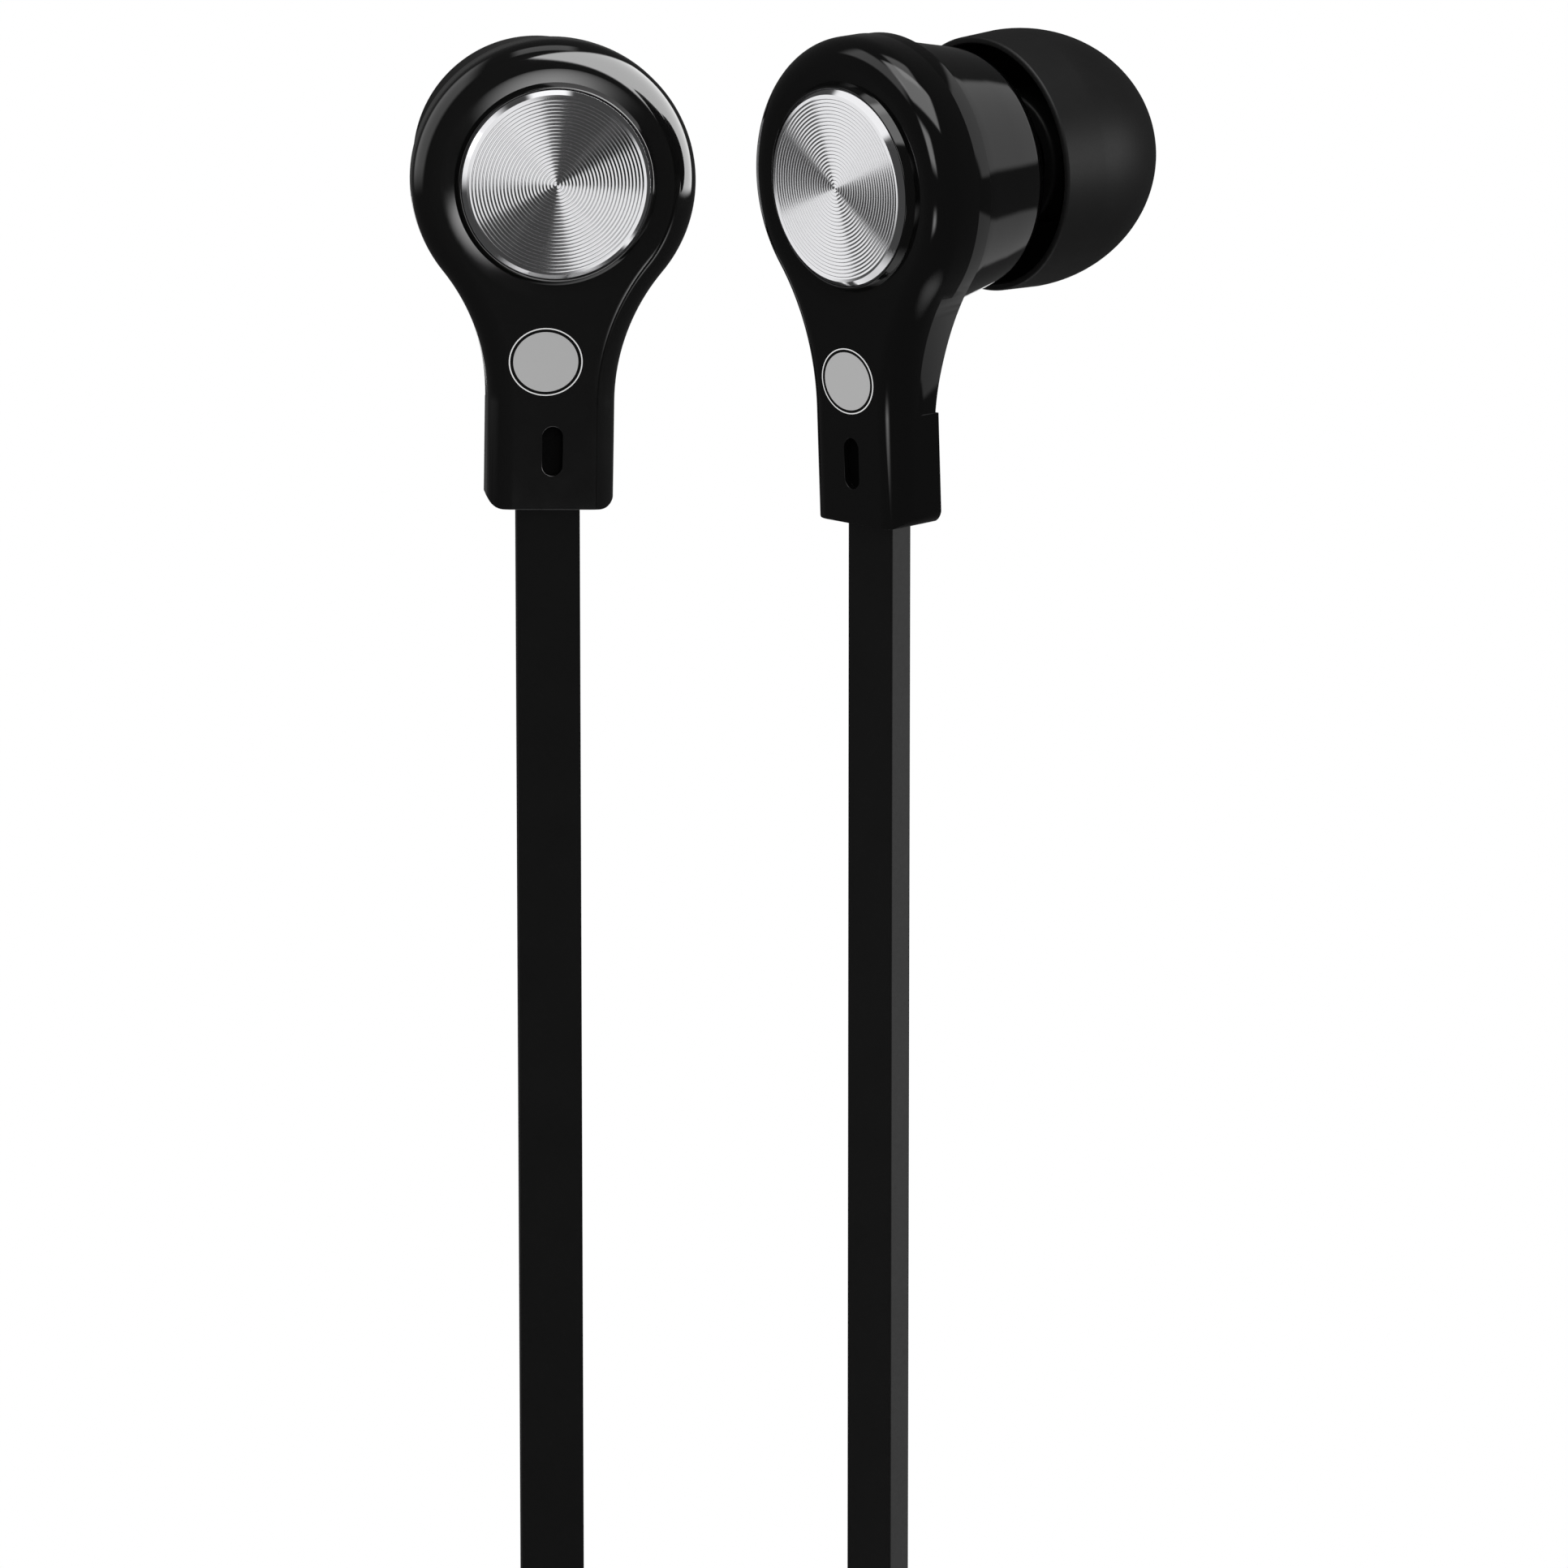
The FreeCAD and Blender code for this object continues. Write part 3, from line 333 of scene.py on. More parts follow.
def rounded(shape, places, radius, segments, affect="VERTICES", clamp=False):
    """Rounds an outline's corners, or a solid's edges, by a radius in millimetres."""
    bmesh.ops.bevel(shape, geom=places, offset=radius, offset_type="OFFSET", segments=segments,
                    profile=0.5, affect=affect, material=-1, clamp_overlap=clamp)


def thickened(shape, way):
    """Makes a flat shape a solid by drawing it out along a way."""
    made = bmesh.ops.extrude_face_region(shape, geom=shape.faces[:])
    ends = [item for item in made["geom"] if isinstance(item, bmesh.types.BMVert)]
    bmesh.ops.translate(shape, verts=ends, vec=way)


def spun(corners, steps=TURN_STEPS, sweep=360.0):
    """A turned shape from its (radius, depth, rounding) corners. It may start and end on the axis."""
    shape = bmesh.new()
    spots = [shape.verts.new((corner[0], corner[1], 0)) for corner in corners]
    open_line = corners[0][0] == 0 and corners[-1][0] == 0
    for index in range(len(spots) - int(open_line)):
        shape.edges.new((spots[index], spots[(index + 1) % len(spots)]))
    for rounding in sorted({corner[2] for corner in corners if len(corner) > 2}):
        chosen = [spot for spot, corner in zip(spots, corners)
                  if len(corner) > 2 and corner[2] == rounding]
        rounded(shape, chosen, rounding, 6)
    bmesh.ops.spin(shape, geom=shape.verts[:] + shape.edges[:], axis=NOZZLE_WAY, cent=(0, 0, 0),
                   angle=math.radians(sweep), steps=steps, use_merge=sweep == 360, use_duplicate=False)
    bmesh.ops.remove_doubles(shape, verts=shape.verts[:], dist=1e-4)
    bmesh.ops.recalc_face_normals(shape, faces=shape.faces[:])
    return shape


def slab(low, high):
    """A box from its lowest to its highest corner."""
    shape = bmesh.new()
    bmesh.ops.create_cube(shape, size=1.0)
    low, high = Vector(low), Vector(high)
    bmesh.ops.scale(shape, verts=shape.verts[:], vec=high - low)
    bmesh.ops.translate(shape, verts=shape.verts[:], vec=(low + high) / 2)
    return shape


def combined(shape, other, operation):
    """The exact Boolean of two closed shapes: DIFFERENCE, UNION or INTERSECT. Uses both up."""
    holders = []
    for part in (shape, other):
        bmesh.ops.recalc_face_normals(part, faces=part.faces[:])
        mesh = bpy.data.meshes.new("part")
        part.to_mesh(mesh)
        part.free()
        holder = bpy.data.objects.new("part", mesh)
        scene.collection.objects.link(holder)
        holders.append(holder)
    step = holders[0].modifiers.new("step", "BOOLEAN")
    step.operation, step.solver, step.object = operation, "EXACT", holders[1]
    bpy.context.view_layer.update()
    result = bmesh.new()
    result.from_object(holders[0], bpy.context.evaluated_depsgraph_get())
    for holder in holders:
        mesh = holder.data
        bpy.data.objects.remove(holder)
        bpy.data.meshes.remove(mesh)
    bmesh.ops.remove_doubles(result, verts=result.verts[:], dist=1e-4)
    return result


def finished(name, shape, place, body, material, stands_for=(), rounding=0.0, crease=32.0):
    """Places a shape, shades it smooth between its hard edges and lets it ride on its body."""
    shape.transform(place)
    mesh = bpy.data.meshes.new(name)
    shape.to_mesh(mesh)
    shape.free()
    mesh.polygons.foreach_set("use_smooth", [True] * len(mesh.polygons))
    mesh.set_sharp_from_angle(angle=math.radians(crease))
    mesh.materials.append(material)
    piece = bpy.data.objects.new(name, mesh)
    scene.collection.objects.link(piece)
    if rounding:
        edge = piece.modifiers.new("moulded_edge", "BEVEL")
        edge.width, edge.segments, edge.limit_method = rounding * MM, 3, "ANGLE"
        edge.angle_limit, edge.use_clamp_overlap = math.radians(crease), True
    shading = piece.modifiers.new("even_shading", "WEIGHTED_NORMAL")
    shading.keep_sharp = not rounding
    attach(piece, body)
    if stands_for:
        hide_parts(*stands_for)
    print(f"{name}: {len(mesh.polygons)} faces")
    return piece


def painted(piece, place, materials, choose):
    """Adds materials and gives each face one by number, chosen by where the face's middle lies."""
    for material in materials:
        piece.data.materials.append(material)
    home = place.inverted()
    for polygon in piece.data.polygons:
        polygon.material_index = int(choose(home @ polygon.center))


print("corners in a full turn:", TURN_STEPS)

# %% [markdown]
# ## The outline of a bud
#
# From the front a bud is a round head that flows into a straight stem through two hollow curves. The
# curves touch both, so their centres follow from the radii alone. Half the outline is drawn by
# spinning a corner about each centre in turn, and is then mirrored.

# %% Outline
HEAD = 6.85
NECK = 9.85
STEM_HALF = 3.07
STEM_END = 15.76
STEM_CORNER = 0.75
FACE = 0.5
FACE_ROUND = 1.2
SEAM = 2.75


def outline_slab(near, far, head=HEAD, end=STEM_END):
    """The outline as a solid between two depths. Its head may be smaller and its stem longer."""
    drop = math.sqrt((head + NECK) ** 2 - (STEM_HALF + NECK) ** 2)
    swing = math.degrees(math.atan2(STEM_HALF + NECK, drop))
    shape = bmesh.new()

    def arc(corner, centre, degrees, steps):
        made = bmesh.ops.spin(shape, geom=[corner], cent=centre, axis=NOZZLE_WAY,
                              angle=math.radians(degrees), steps=steps, use_duplicate=False)
        return made["geom_last"][0]

    def line(corner, spot):
        next_corner = shape.verts.new(spot)
        shape.edges.new((corner, next_corner))
        return next_corner

    low = STEM_CORNER - end
    corner = arc(shape.verts.new((0, near, head)), (0, near, 0), 180 - swing, 56)
    corner = arc(corner, (STEM_HALF + NECK, near, -drop), swing - 90, 20)
    corner = line(corner, (STEM_HALF, near, low))
    corner = arc(corner, (STEM_HALF - STEM_CORNER, near, low), 90, 10)
    line(corner, (0, near, -end))
    bmesh.ops.mirror(shape, geom=shape.verts[:] + shape.edges[:], axis="X", merge_dist=1e-4)
    bmesh.ops.edgeloop_fill(shape, edges=shape.edges[:])
    thickened(shape, (0, far - near, 0))
    bmesh.ops.recalc_face_normals(shape, faces=shape.faces[:])
    return shape


trial = outline_slab(FACE, SEAM)
print("outline corners:", len(trial.verts) // 2)
trial.free()

# %% [markdown]
# ## The face shell
#
# The front half of the housing is one moulding, made here of two shapes. The outline's solid gets
# its rounded front edge by bevelling the front face's own loop, and a round window. The window holds a
# turned dish: a ring round the disc's seat and a hollow that runs out level with the front. Cut with
# the Boolean, that hollow would leave slivers, and gloss shows every one of them.

# %% The dish
DISC = 4.6
DISC_THICK = 0.5
SEAT_ROUND = 0.03
BOSS_LAND = 0.08
BOSS_FOOT = 4.88
BOSS_FRONT = 0.2
BOSS_ROUND = 0.04
VALLEY_WIDTH = 0.7
VALLEY_DEPTH = 0.08
VALLEY_POWER = 1.1
VALLEY_STEPS = 14
WINDOW = 5.62
LAP = 0.2
FLOOR = 1.45


def dish():
    """The round middle of the face: seat for the disc, ring, hollow and floor."""
    corners = [(0, DISC_THICK), (DISC, DISC_THICK), (DISC, BOSS_FRONT, SEAT_ROUND),
               (DISC + BOSS_LAND, BOSS_FRONT, BOSS_ROUND)]
    for step in range(VALLEY_STEPS + 1):
        share = step / VALLEY_STEPS
        depth = VALLEY_DEPTH * (1 - share) ** VALLEY_POWER
        corners.append((BOSS_FOOT + VALLEY_WIDTH * share, FACE + depth))
    corners += [(WINDOW, FACE), (WINDOW + LAP, FACE + LAP), (WINDOW + LAP, FLOOR), (0, FLOOR)]
    return spun(corners)


trial = dish()
print("dish faces:", len(trial.faces))
trial.free()

# %% [markdown]
# ### What is cut from the face shell
#
# The vent slot has round ends, so its cutter is a disc that is pulled apart in the middle. The stem's
# end is crisp in front, while the stem's sides are round, so it is cut off after the rounding, by a
# solid that has the stem's corners.

# %% Cutters for the slot and the stem's end
STEM_BACK = 3.25
SPARE = 0.02
SLOT_WIDTH = 1.0
SLOT_HEIGHT = 2.4
SLOT_PLACE = 12.92
SLOT_DEPTH = 0.3
SLOT_STEPS = 32


def slot_cutter():
    """A disc whose upper half is moved up and whose lower half is moved down, drawn out."""
    half, tall = SLOT_WIDTH / 2, SLOT_HEIGHT / 2 - SLOT_WIDTH / 2
    shape = bmesh.new()
    bmesh.ops.create_circle(shape, cap_ends=True, radius=half, segments=SLOT_STEPS)
    turn = Matrix.Rotation(math.radians(90), 3, "X") @ Matrix.Rotation(math.pi / SLOT_STEPS, 3, "Z")
    bmesh.ops.rotate(shape, verts=shape.verts[:], cent=(0, 0, 0), matrix=turn)
    for way in (-1, 1):
        ends = [spot for spot in shape.verts if spot.co.z * way > 0]
        bmesh.ops.translate(shape, verts=ends, vec=(0, 0, way * tall))
    bmesh.ops.translate(shape, verts=shape.verts[:], vec=(0, -1, -SLOT_PLACE))
    thickened(shape, (0, 1 + FACE + SLOT_DEPTH, 0))
    return shape


def stem_cutter():
    """All that lies above the stem's end, with the stem's two lower corners rounded."""
    wide, narrow, step = 2 * HEAD, STEM_HALF + SPARE, 2 * STEM_CORNER - STEM_END
    shape = bmesh.new()
    spots = [shape.verts.new((x, -1, z)) for x, z in (
        (-wide, wide), (-wide, step), (-narrow, step), (-narrow, -STEM_END), (narrow, -STEM_END),
        (narrow, step), (wide, step), (wide, wide))]
    shape.faces.new(spots)
    rounded(shape, spots[3:5], STEM_CORNER, 10)
    thickened(shape, (0, STEM_BACK + 2, 0))
    return shape


print("vent slot:", SLOT_WIDTH, "by", SLOT_HEIGHT, "mm")

# %% [markdown]
# ### The housing's front, put together
#
# The order matters. The front edge is rounded while the solid is still plain, then the stem's end, the
# window, the ear shell's room and the slot are cut, and the crisp edges that are left get a small
# rounding, as a mould leaves them. The dish closes the window.

# %% Face shell
TONGUE_END = 10.55
TONGUE_SEAM = 2.05
EDGE = 0.07
SHARP = math.radians(40)
FLUSH = 0.01


def face_shell():
    """The glossy front of a bud, in its own millimetres."""
    shape = outline_slab(FACE, STEM_BACK, end=STEM_END + 2)
    front = [edge for edge in shape.edges
             if all(abs(spot.co.y - FACE) < 1e-5 for spot in edge.verts)]
    rounded(shape, front, FACE_ROUND, 12, "EDGES")
    shape = combined(shape, stem_cutter(), "INTERSECT")
    window = spun([(0, -1), (WINDOW, -1), (WINDOW, STEM_BACK + 1), (0, STEM_BACK + 1)])
    shape = combined(shape, window, "DIFFERENCE")
    wide, round_head = 2 * HEAD, HEAD + SPARE
    behind = slab((-wide, TONGUE_SEAM, -TONGUE_END), (wide, STEM_BACK + 1, wide))
    keep = spun([(0, -1), (round_head, -1), (round_head, SEAM), (0, SEAM)])
    shape = combined(shape, combined(behind, keep, "DIFFERENCE"), "DIFFERENCE")
    shape = combined(shape, slot_cutter(), "DIFFERENCE")
    sharp = [edge for edge in shape.edges if edge.is_manifold and edge.calc_face_angle() > SHARP
             and max(math.hypot(spot.co.x, spot.co.z) for spot in edge.verts) > WINDOW + 0.1]
    rounded(shape, sharp, EDGE, 3, "EDGES", clamp=True)
    holder = bpy.data.meshes.new("dish")
    middle = dish()
    middle.to_mesh(holder)
    middle.free()
    shape.from_mesh(holder)
    bpy.data.meshes.remove(holder)
    return shape


def is_painted_slot_shade(middle):
    """Whether a face of the housing is the vent slot's bottom, which gets the near-black painted shade.
    """
    in_slot = abs(middle.x) < SLOT_WIDTH / 2 and abs(middle.z + SLOT_PLACE) < SLOT_HEIGHT / 2
    return in_slot and abs(middle.y - FACE - SLOT_DEPTH) < FLUSH


for side, place in BUDS.items():
    piece = finished(f"{side}_face", face_shell(), place, ROOT, piano_abs,
                     [f"{side}_face_shell"])
    # The slot's bottom gets the near-black painted shade.
    painted(piece, place, [slot_shade_paint], is_painted_slot_shade)

# %% [markdown]
# ## The ear shell
#
# The other half carries the driver and the nozzle. Its flange closes the head, its barrel tapers
# towards the ear and turns in to the nozzle, and its tongue runs down and closes the back of the neck.
# The turned part and the tongue are made apart and joined.

# %% Ear shell
FLANGE = 6.8
FLANGE_THICK = 0.8
GROOVE = 0.12
BARREL = 6.5
BARREL_WAIST = (6.15, 5.2)
BARREL_SMALL = 5.6
BARREL_END = 7.9
BARREL_TURN = (1.045, 0.88)
NOZZLE = 2.2
NOZZLE_BORE = 1.5
NOZZLE_FOOT = 10.2
NOZZLE_END = 15.0
FLARE = 0.7
LIP = 2.45
LIP_END = 14.6
LIP_START = 13.9
LIP_RAMP = 0.15
MESH = 1.85
MESH_SEAT = 14.6
DRIVER_ROOM = 5.05
DRIVER_LEDGE = 0.675
DRIVER_FRONT = 7.5
TONGUE_RISE = 4.3
TONGUE_FOOT = 3.05
TONGUE_BEND = 6.9
TONGUE_ROUND = 1.6
SHELL_EDGE = 0.05


def tongue():
    """The strip that closes the back of the neck, trimmed to the outline and to the barrel's room."""
    wide, rise, back = 2 * HEAD, -TONGUE_RISE, SEAM + FLANGE_THICK
    shape = bmesh.new()
    line = [(TONGUE_SEAM, rise), (TONGUE_SEAM, -TONGUE_END), (TONGUE_FOOT, -TONGUE_END),
            (back, -TONGUE_BEND), (back, rise)]
    spots = [shape.verts.new((-wide / 2, y, z)) for y, z in line]
    shape.faces.new(spots)
    rounded(shape, [spots[3]], TONGUE_ROUND, 10)
    thickened(shape, (wide, 0, 0))
    shape = combined(shape, outline_slab(0, back + 1, FLANGE - SPARE), "INTERSECT")
    round_head, room = HEAD + SPARE, (BARREL_SMALL + DRIVER_ROOM) / 2
    return combined(shape, spun([(0, -1), (round_head, -1), (round_head, SEAM), (room, SEAM),
                                 (room, BARREL_END), (0, BARREL_END)]), "DIFFERENCE")


def ear_shell():
    """The half with the barrel and the nozzle, in its own millimetres."""
    flange_end = SEAM + FLANGE_THICK
    ledge = DRIVER_ROOM - DRIVER_LEDGE
    shape = spun([
        (FLANGE, SEAM, 0.05), (FLANGE, flange_end, 0.05), (BARREL - GROOVE, flange_end + 0.01),
        (BARREL - GROOVE, flange_end + GROOVE), (BARREL, flange_end + GROOVE + 0.01, 0.05),
        (*BARREL_WAIST, 0.9), (BARREL_SMALL, BARREL_END, 0.5),
        (BARREL_SMALL - BARREL_TURN[0], BARREL_END + BARREL_TURN[1], 0.6),
        (NOZZLE + FLARE, NOZZLE_FOOT - FLARE, 0.3), (NOZZLE, NOZZLE_FOOT, 0.3), (NOZZLE, LIP_START),
        (LIP, LIP_START + LIP_RAMP, 0.05), (LIP, LIP_END, 0.12), (NOZZLE, NOZZLE_END, 0.05),
        (MESH, NOZZLE_END, 0.04), (MESH, MESH_SEAT), (NOZZLE_BORE, MESH_SEAT),
        (NOZZLE_BORE, NOZZLE_FOOT - FLARE), (ledge, BARREL_END), (ledge, DRIVER_FRONT),
        (DRIVER_ROOM, DRIVER_FRONT), (DRIVER_ROOM, SEAM),
    ])
    return combined(shape, tongue(), "UNION")


for side, place in BUDS.items():
    finished(f"{side}_barrel", ear_shell(), place, ROOT, piano_abs,
             [f"{side}_ear_shell"], rounding=SHELL_EDGE)

# %% [markdown]
# ## The metal disc
#
# A pointed tool on the lathe cuts one groove after another from the middle out and leaves a narrow
# flat between them. So the disc's outline is a row of shallow notches, and the spin makes the rings.
# The polished edge is cut last, by a diamond, and gets its own brighter finish.

# %% Disc
GROOVE_PITCH = 0.17
GROOVE_DEPTH = 0.022
LAND = 0.07
BEVEL = 0.27


def turned_chart(mesh, place):
    """A UV map with the turn in U and the radius in millimetres in V, with no jump inside a face."""
    chart = mesh.uv_layers.new(name="turned")
    home = place.inverted()
    for polygon in mesh.polygons:
        middle = home @ polygon.center
        base = math.atan2(middle.x, middle.z) / (2 * math.pi)
        for loop in polygon.loop_indices:
            spot = home @ mesh.vertices[mesh.loops[loop].vertex_index].co
            radius = math.hypot(spot.x, spot.z)
            turn = math.atan2(spot.x, spot.z) / (2 * math.pi) if radius > 1e-6 else base
            turn += round(base - turn)
            chart.data[loop].uv = (turn, radius)


def disc():
    """The spun disc with its grooves, in its own millimetres."""
    grooves = int((DISC - BEVEL) / GROOVE_PITCH)
    corners = [(0, 0)]
    for groove in range(grooves):
        near = groove * GROOVE_PITCH
        corners.append((near + LAND, 0))
        corners.append((near + (LAND + GROOVE_PITCH) / 2, GROOVE_DEPTH))
        corners.append((near + GROOVE_PITCH, 0))
    corners[-1] = (DISC - BEVEL, 0)
    return spun(corners + [(DISC, BEVEL), (DISC, DISC_THICK), (0, DISC_THICK)])


for side, place in BUDS.items():
    piece = finished(f"{side}_spun_disc", disc(), place, ROOT, spun_metal,
                     [f"{side}_disc"], crease=25.0)
    turned_chart(piece.data, place)
    painted(piece, place, [cut_metal],
            lambda middle: math.hypot(middle.x, middle.z) > DISC - BEVEL)

# %% [markdown]
# ## The printed badge
#
# Below the disc sits a pad print, almost round: a grey field, a black line round it and a thin light
# rim. The field is left plain. Ink stands a few hundredths of a millimetre proud, so it is a very thin
# disc.

# %% Badge
BADGE_PLACES = {"left": (-0.38, 8.58, 0.92), "right": (-0.09, 9.06, 0.86)}
BADGE_BANDS = (("ink_grey", 1.57, "A8A8A8"), ("ink_black", 1.72, "080808"),
               ("ink_light", 1.78, "D8D8D8"))
INK = 0.02


def ink_band(middle):
    """The number of the ink that a face's middle lies in."""
    reach = math.hypot(middle.x, middle.z)
    return sum(reach > radius for _, radius, _ in BADGE_BANDS[:-1])


inks = [plain_finish(name, colour, colour, 0.1, (0.3, 0.42), 0.001) for name, _, colour in BADGE_BANDS]
for side, place in BUDS.items():
    across, drop, flat = BADGE_PLACES[side]
    edge = BADGE_BANDS[-1][1]
    line = [(0, FACE - INK)] + [(radius, FACE - INK) for _, radius, _ in BADGE_BANDS]
    lower = place @ Matrix.Translation((across, 0, -drop)) @ Matrix.Diagonal((1, 1, flat, 1))
    print_shape = spun(line + [(edge, FACE + INK), (0, FACE + INK)], steps=96)
    piece = finished(f"{side}_badge", print_shape, lower, ROOT, inks[0])
    painted(piece, lower, inks[1:], ink_band)

# %% [markdown]
# ## The ear tip
#
# One silicone moulding: a round front with the sound hole, a thin skirt that folds back over the
# barrel, and a thicker core that grips the nozzle. Its outline has two long curves, the outer ball
# and the skirt's inside, so these are drawn as arcs and the rest as rounded corners.

# %% Ear tip
TIP = 6.05
TIP_STRETCH = 1.14
TIP_FRONT = 17.8
TIP_HOLE = 2.0
TIP_WALL = 0.35
SKIRT = 9.1
SKIRT_DRAW = 0.1
CORE = 2.51
CORE_WALL = 0.7
CORE_START = 10.7
SHOULDER = 15.3


def ball_line(radius, middle, start, end, steps):
    """Corners on a stretched circle round the nozzle axis, between two angles from the radius line."""
    angles = [math.radians(start + (end - start) * step / steps) for step in range(steps + 1)]
    return [(radius * math.cos(angle), middle + TIP_STRETCH * radius * math.sin(angle))
            for angle in angles]


def ear_tip():
    """The silicone tip, in its own millimetres."""
    middle = TIP_FRONT - TIP_STRETCH * math.sqrt(TIP ** 2 - TIP_HOLE ** 2)
    top = math.degrees(math.acos(TIP_HOLE / TIP))
    small, outer = TIP - TIP_WALL, CORE + CORE_WALL
    inside = math.degrees(math.acos(outer / small))
    ball = ball_line(TIP, middle, 0, top, 28)
    hollow = ball_line(small, middle, inside, 0, 20)
    corners = [(TIP - SKIRT_DRAW, SKIRT, 0.12), *ball[:-1], (*ball[-1], 0.25)]
    corners += [(TIP_HOLE, SHOULDER + CORE_WALL / 2), (CORE, SHOULDER), (CORE, CORE_START, 0.1)]
    corners += [(outer, CORE_START, 0.2), *hollow, (TIP - SKIRT_DRAW - TIP_WALL, SKIRT, 0.12)]
    return spun(corners)


for side, place in BUDS.items():
    finished(f"{side}_silicone_tip", ear_tip(), place, f"{side}_tip", silicone,
             [f"{side}_ear_tip"], crease=50.0)

# %% [markdown]
# ## The cord's route
#
# The photograph shows each lead hanging straight. The rest of the cord, to the splitter and on to the
# plug, is wound up below the picture. A flat cord bends only one way, so its turns lie in planes across
# one axis, the rack's X, which runs from the left lead to the right one. The route's points are the
# corners of a smooth spline. Where the cord isn't wound they are listed, and each turn of the
# coil adds sixteen, a little outside its circle, so that the spline runs on the circle itself.

# %% Points of the route
LEAD_GAP = 24.0
LEAD_SWING = 55.7
RING = 19.0
RING_MIDDLE = -117.22
STEP = 0.875
LAYER = 3.5
JOIN_ANGLE = 20.2
LEAD_DRIFT = {"left": -0.12, "right": 0.15}
CORD_DEPTH = 1.8
CORD_START = 15.7
IN_TURNS = 8
HALF_STEPS = 8

LEAD_POINTS = [(12, 0, -62), (12, 0, -78), (8.75, 0, -86), (8.75, 0, -93.14), (8.75, 3.6, -98.3)]
SPLITTER_POINTS = [(5.25, -18.125, -111.3), (1.75, -18.125, -104.2), (1.75, -18.125, -99.1)]
MAIN_POINTS = [(0, -18.125, -86.1), (-0.07, -18.125, -80.85), (-0.54, -12.82, -75.54),
               (-1.21, -5.31, -75.54), (-1.68, 0, -80.85), (-1.75, 0, -93.14), (-1.75, 3.6, -98.3)]
PLUG_POINTS = [(1.75, 17.27, -99.97), (1.75, 23.125, -105.83), (1.75, 23.125, -111.47)]

exits = {name: place @ Vector((0, CORD_DEPTH, -CORD_START)) / MM for name, place in BUDS.items()}
swing = Matrix.Rotation(-math.radians(LEAD_SWING), 4, "Z")
middle = exits["left"] + swing @ Vector((LEAD_GAP / 2, 0, 0))
RACK = Matrix.Scale(MM, 4) @ Matrix.Translation((middle.x, middle.y, 0)) @ swing


def turn_points(middle, radius, start, end, steps, layer, next_layer):
    """Points round a circle across the rack, by angles from its top, while it climbs to a layer."""
    share = (end - start) / steps
    reach = radius / math.cos(math.radians(share / 2))
    spots = []
    for step in range(steps):
        angle = math.radians(start + share * (step + 0.5))
        climb = (1 - math.cos(math.pi * (step + 0.5) / steps)) / 2
        spots.append((layer + (next_layer - layer) * climb, reach * math.sin(angle),
                      middle + reach * math.cos(angle)))
    return spots


def coil_points(radii, layer, next_layer, climb_at):
    """The ring from where the cord joins it, then half turns. One of them climbs to the next layer."""
    spots = turn_points(RING_MIDDLE, RING, JOIN_ANGLE, 180, HALF_STEPS - 1, layer, layer)
    height, angle = RING_MIDDLE - RING, 180
    for index, radius in enumerate(radii):
        up = 1 if angle % 360 == 180 else -1
        first = layer if index <= climb_at else next_layer
        last = layer if index < climb_at else next_layer
        spots += turn_points(height + up * radius, radius, angle, angle + 180, HALF_STEPS, first, last)
        height += 2 * up * radius
        angle += 180
    return spots, height


def lead_route(name, way):
    """A lead's points, from its stem to the splitter."""
    hanging = [(LEAD_GAP / 2, 0, exits[name].z)] + LEAD_POINTS[:2]
    hanging = [(x, y + LEAD_DRIFT[name], z) for x, y, z in hanging]
    turns, height = coil_points([RING - STEP, RING - 2 * STEP], LAYER * 2.5, LAYER * 1.5, 1)
    quarter = turn_points(height + RING - STEP, RING - STEP, 180, 270, HALF_STEPS // 2,
                          LAYER * 1.5, LAYER * 1.5)
    spots = hanging + LEAD_POINTS[2:] + turns + quarter + SPLITTER_POINTS
    return [Vector((way * x, y, z)) for x, y, z in spots]


def main_route():
    """The main cord's points, from the splitter, through its turns, to the plug."""
    inward = [RING - turn * STEP for turn in range(1, IN_TURNS + 1)]
    radii = inward + [RING - (IN_TURNS + 1) * STEP] + inward[::-1]
    turns, height = coil_points(radii, -LAYER / 2, LAYER / 2, IN_TURNS)
    return [Vector(spot) for spot in MAIN_POINTS + turns + PLUG_POINTS]


ROUTES = {"left": lead_route("left", -1), "right": lead_route("right", 1), "main": main_route()}
for name, spots in ROUTES.items():
    print(name, "route:", len(spots), "points")

# %% [markdown]
# ## The flat cord
#
# A spline of order 3 runs through the route. Read back as points, it carries a rounded rectangle, 3.05
# by 1.25 mm, whose width keeps to the rack's axis. Only the leads twist, from the way their bud faces
# to the way of the turns: the left one by 56 degrees, the right one hardly at all.

# %% Cords
CORD_WIDTH = 3.05
CORD_THICK = 1.25
CORD_ROUND = 0.12
SPLINE_STEPS = 5
STRAIGHT_END = -74.0
COIL_TOP = -90.0
TWIST = {"left": LEAD_SWING, "right": LEAD_SWING - 55.4, "main": 0.0}


def spline_line(spots):
    """The route's smooth line as points in the rack's millimetres."""
    curve = bpy.data.curves.new("line", "CURVE")
    curve.dimensions = "3D"
    spline = curve.splines.new("NURBS")
    spline.points.add(len(spots) - 1)
    for point, spot in zip(spline.points, spots):
        point.co = (*spot, 1)
    spline.order_u = 3
    spline.use_endpoint_u = True
    spline.resolution_u = SPLINE_STEPS
    holder = bpy.data.objects.new("line", curve)
    scene.collection.objects.link(holder)
    bpy.context.view_layer.update()
    mesh = bpy.data.meshes.new_from_object(holder)
    line = [spot.co.copy() for spot in mesh.vertices]
    bpy.data.objects.remove(holder)
    bpy.data.curves.remove(curve)
    bpy.data.meshes.remove(mesh)
    return line


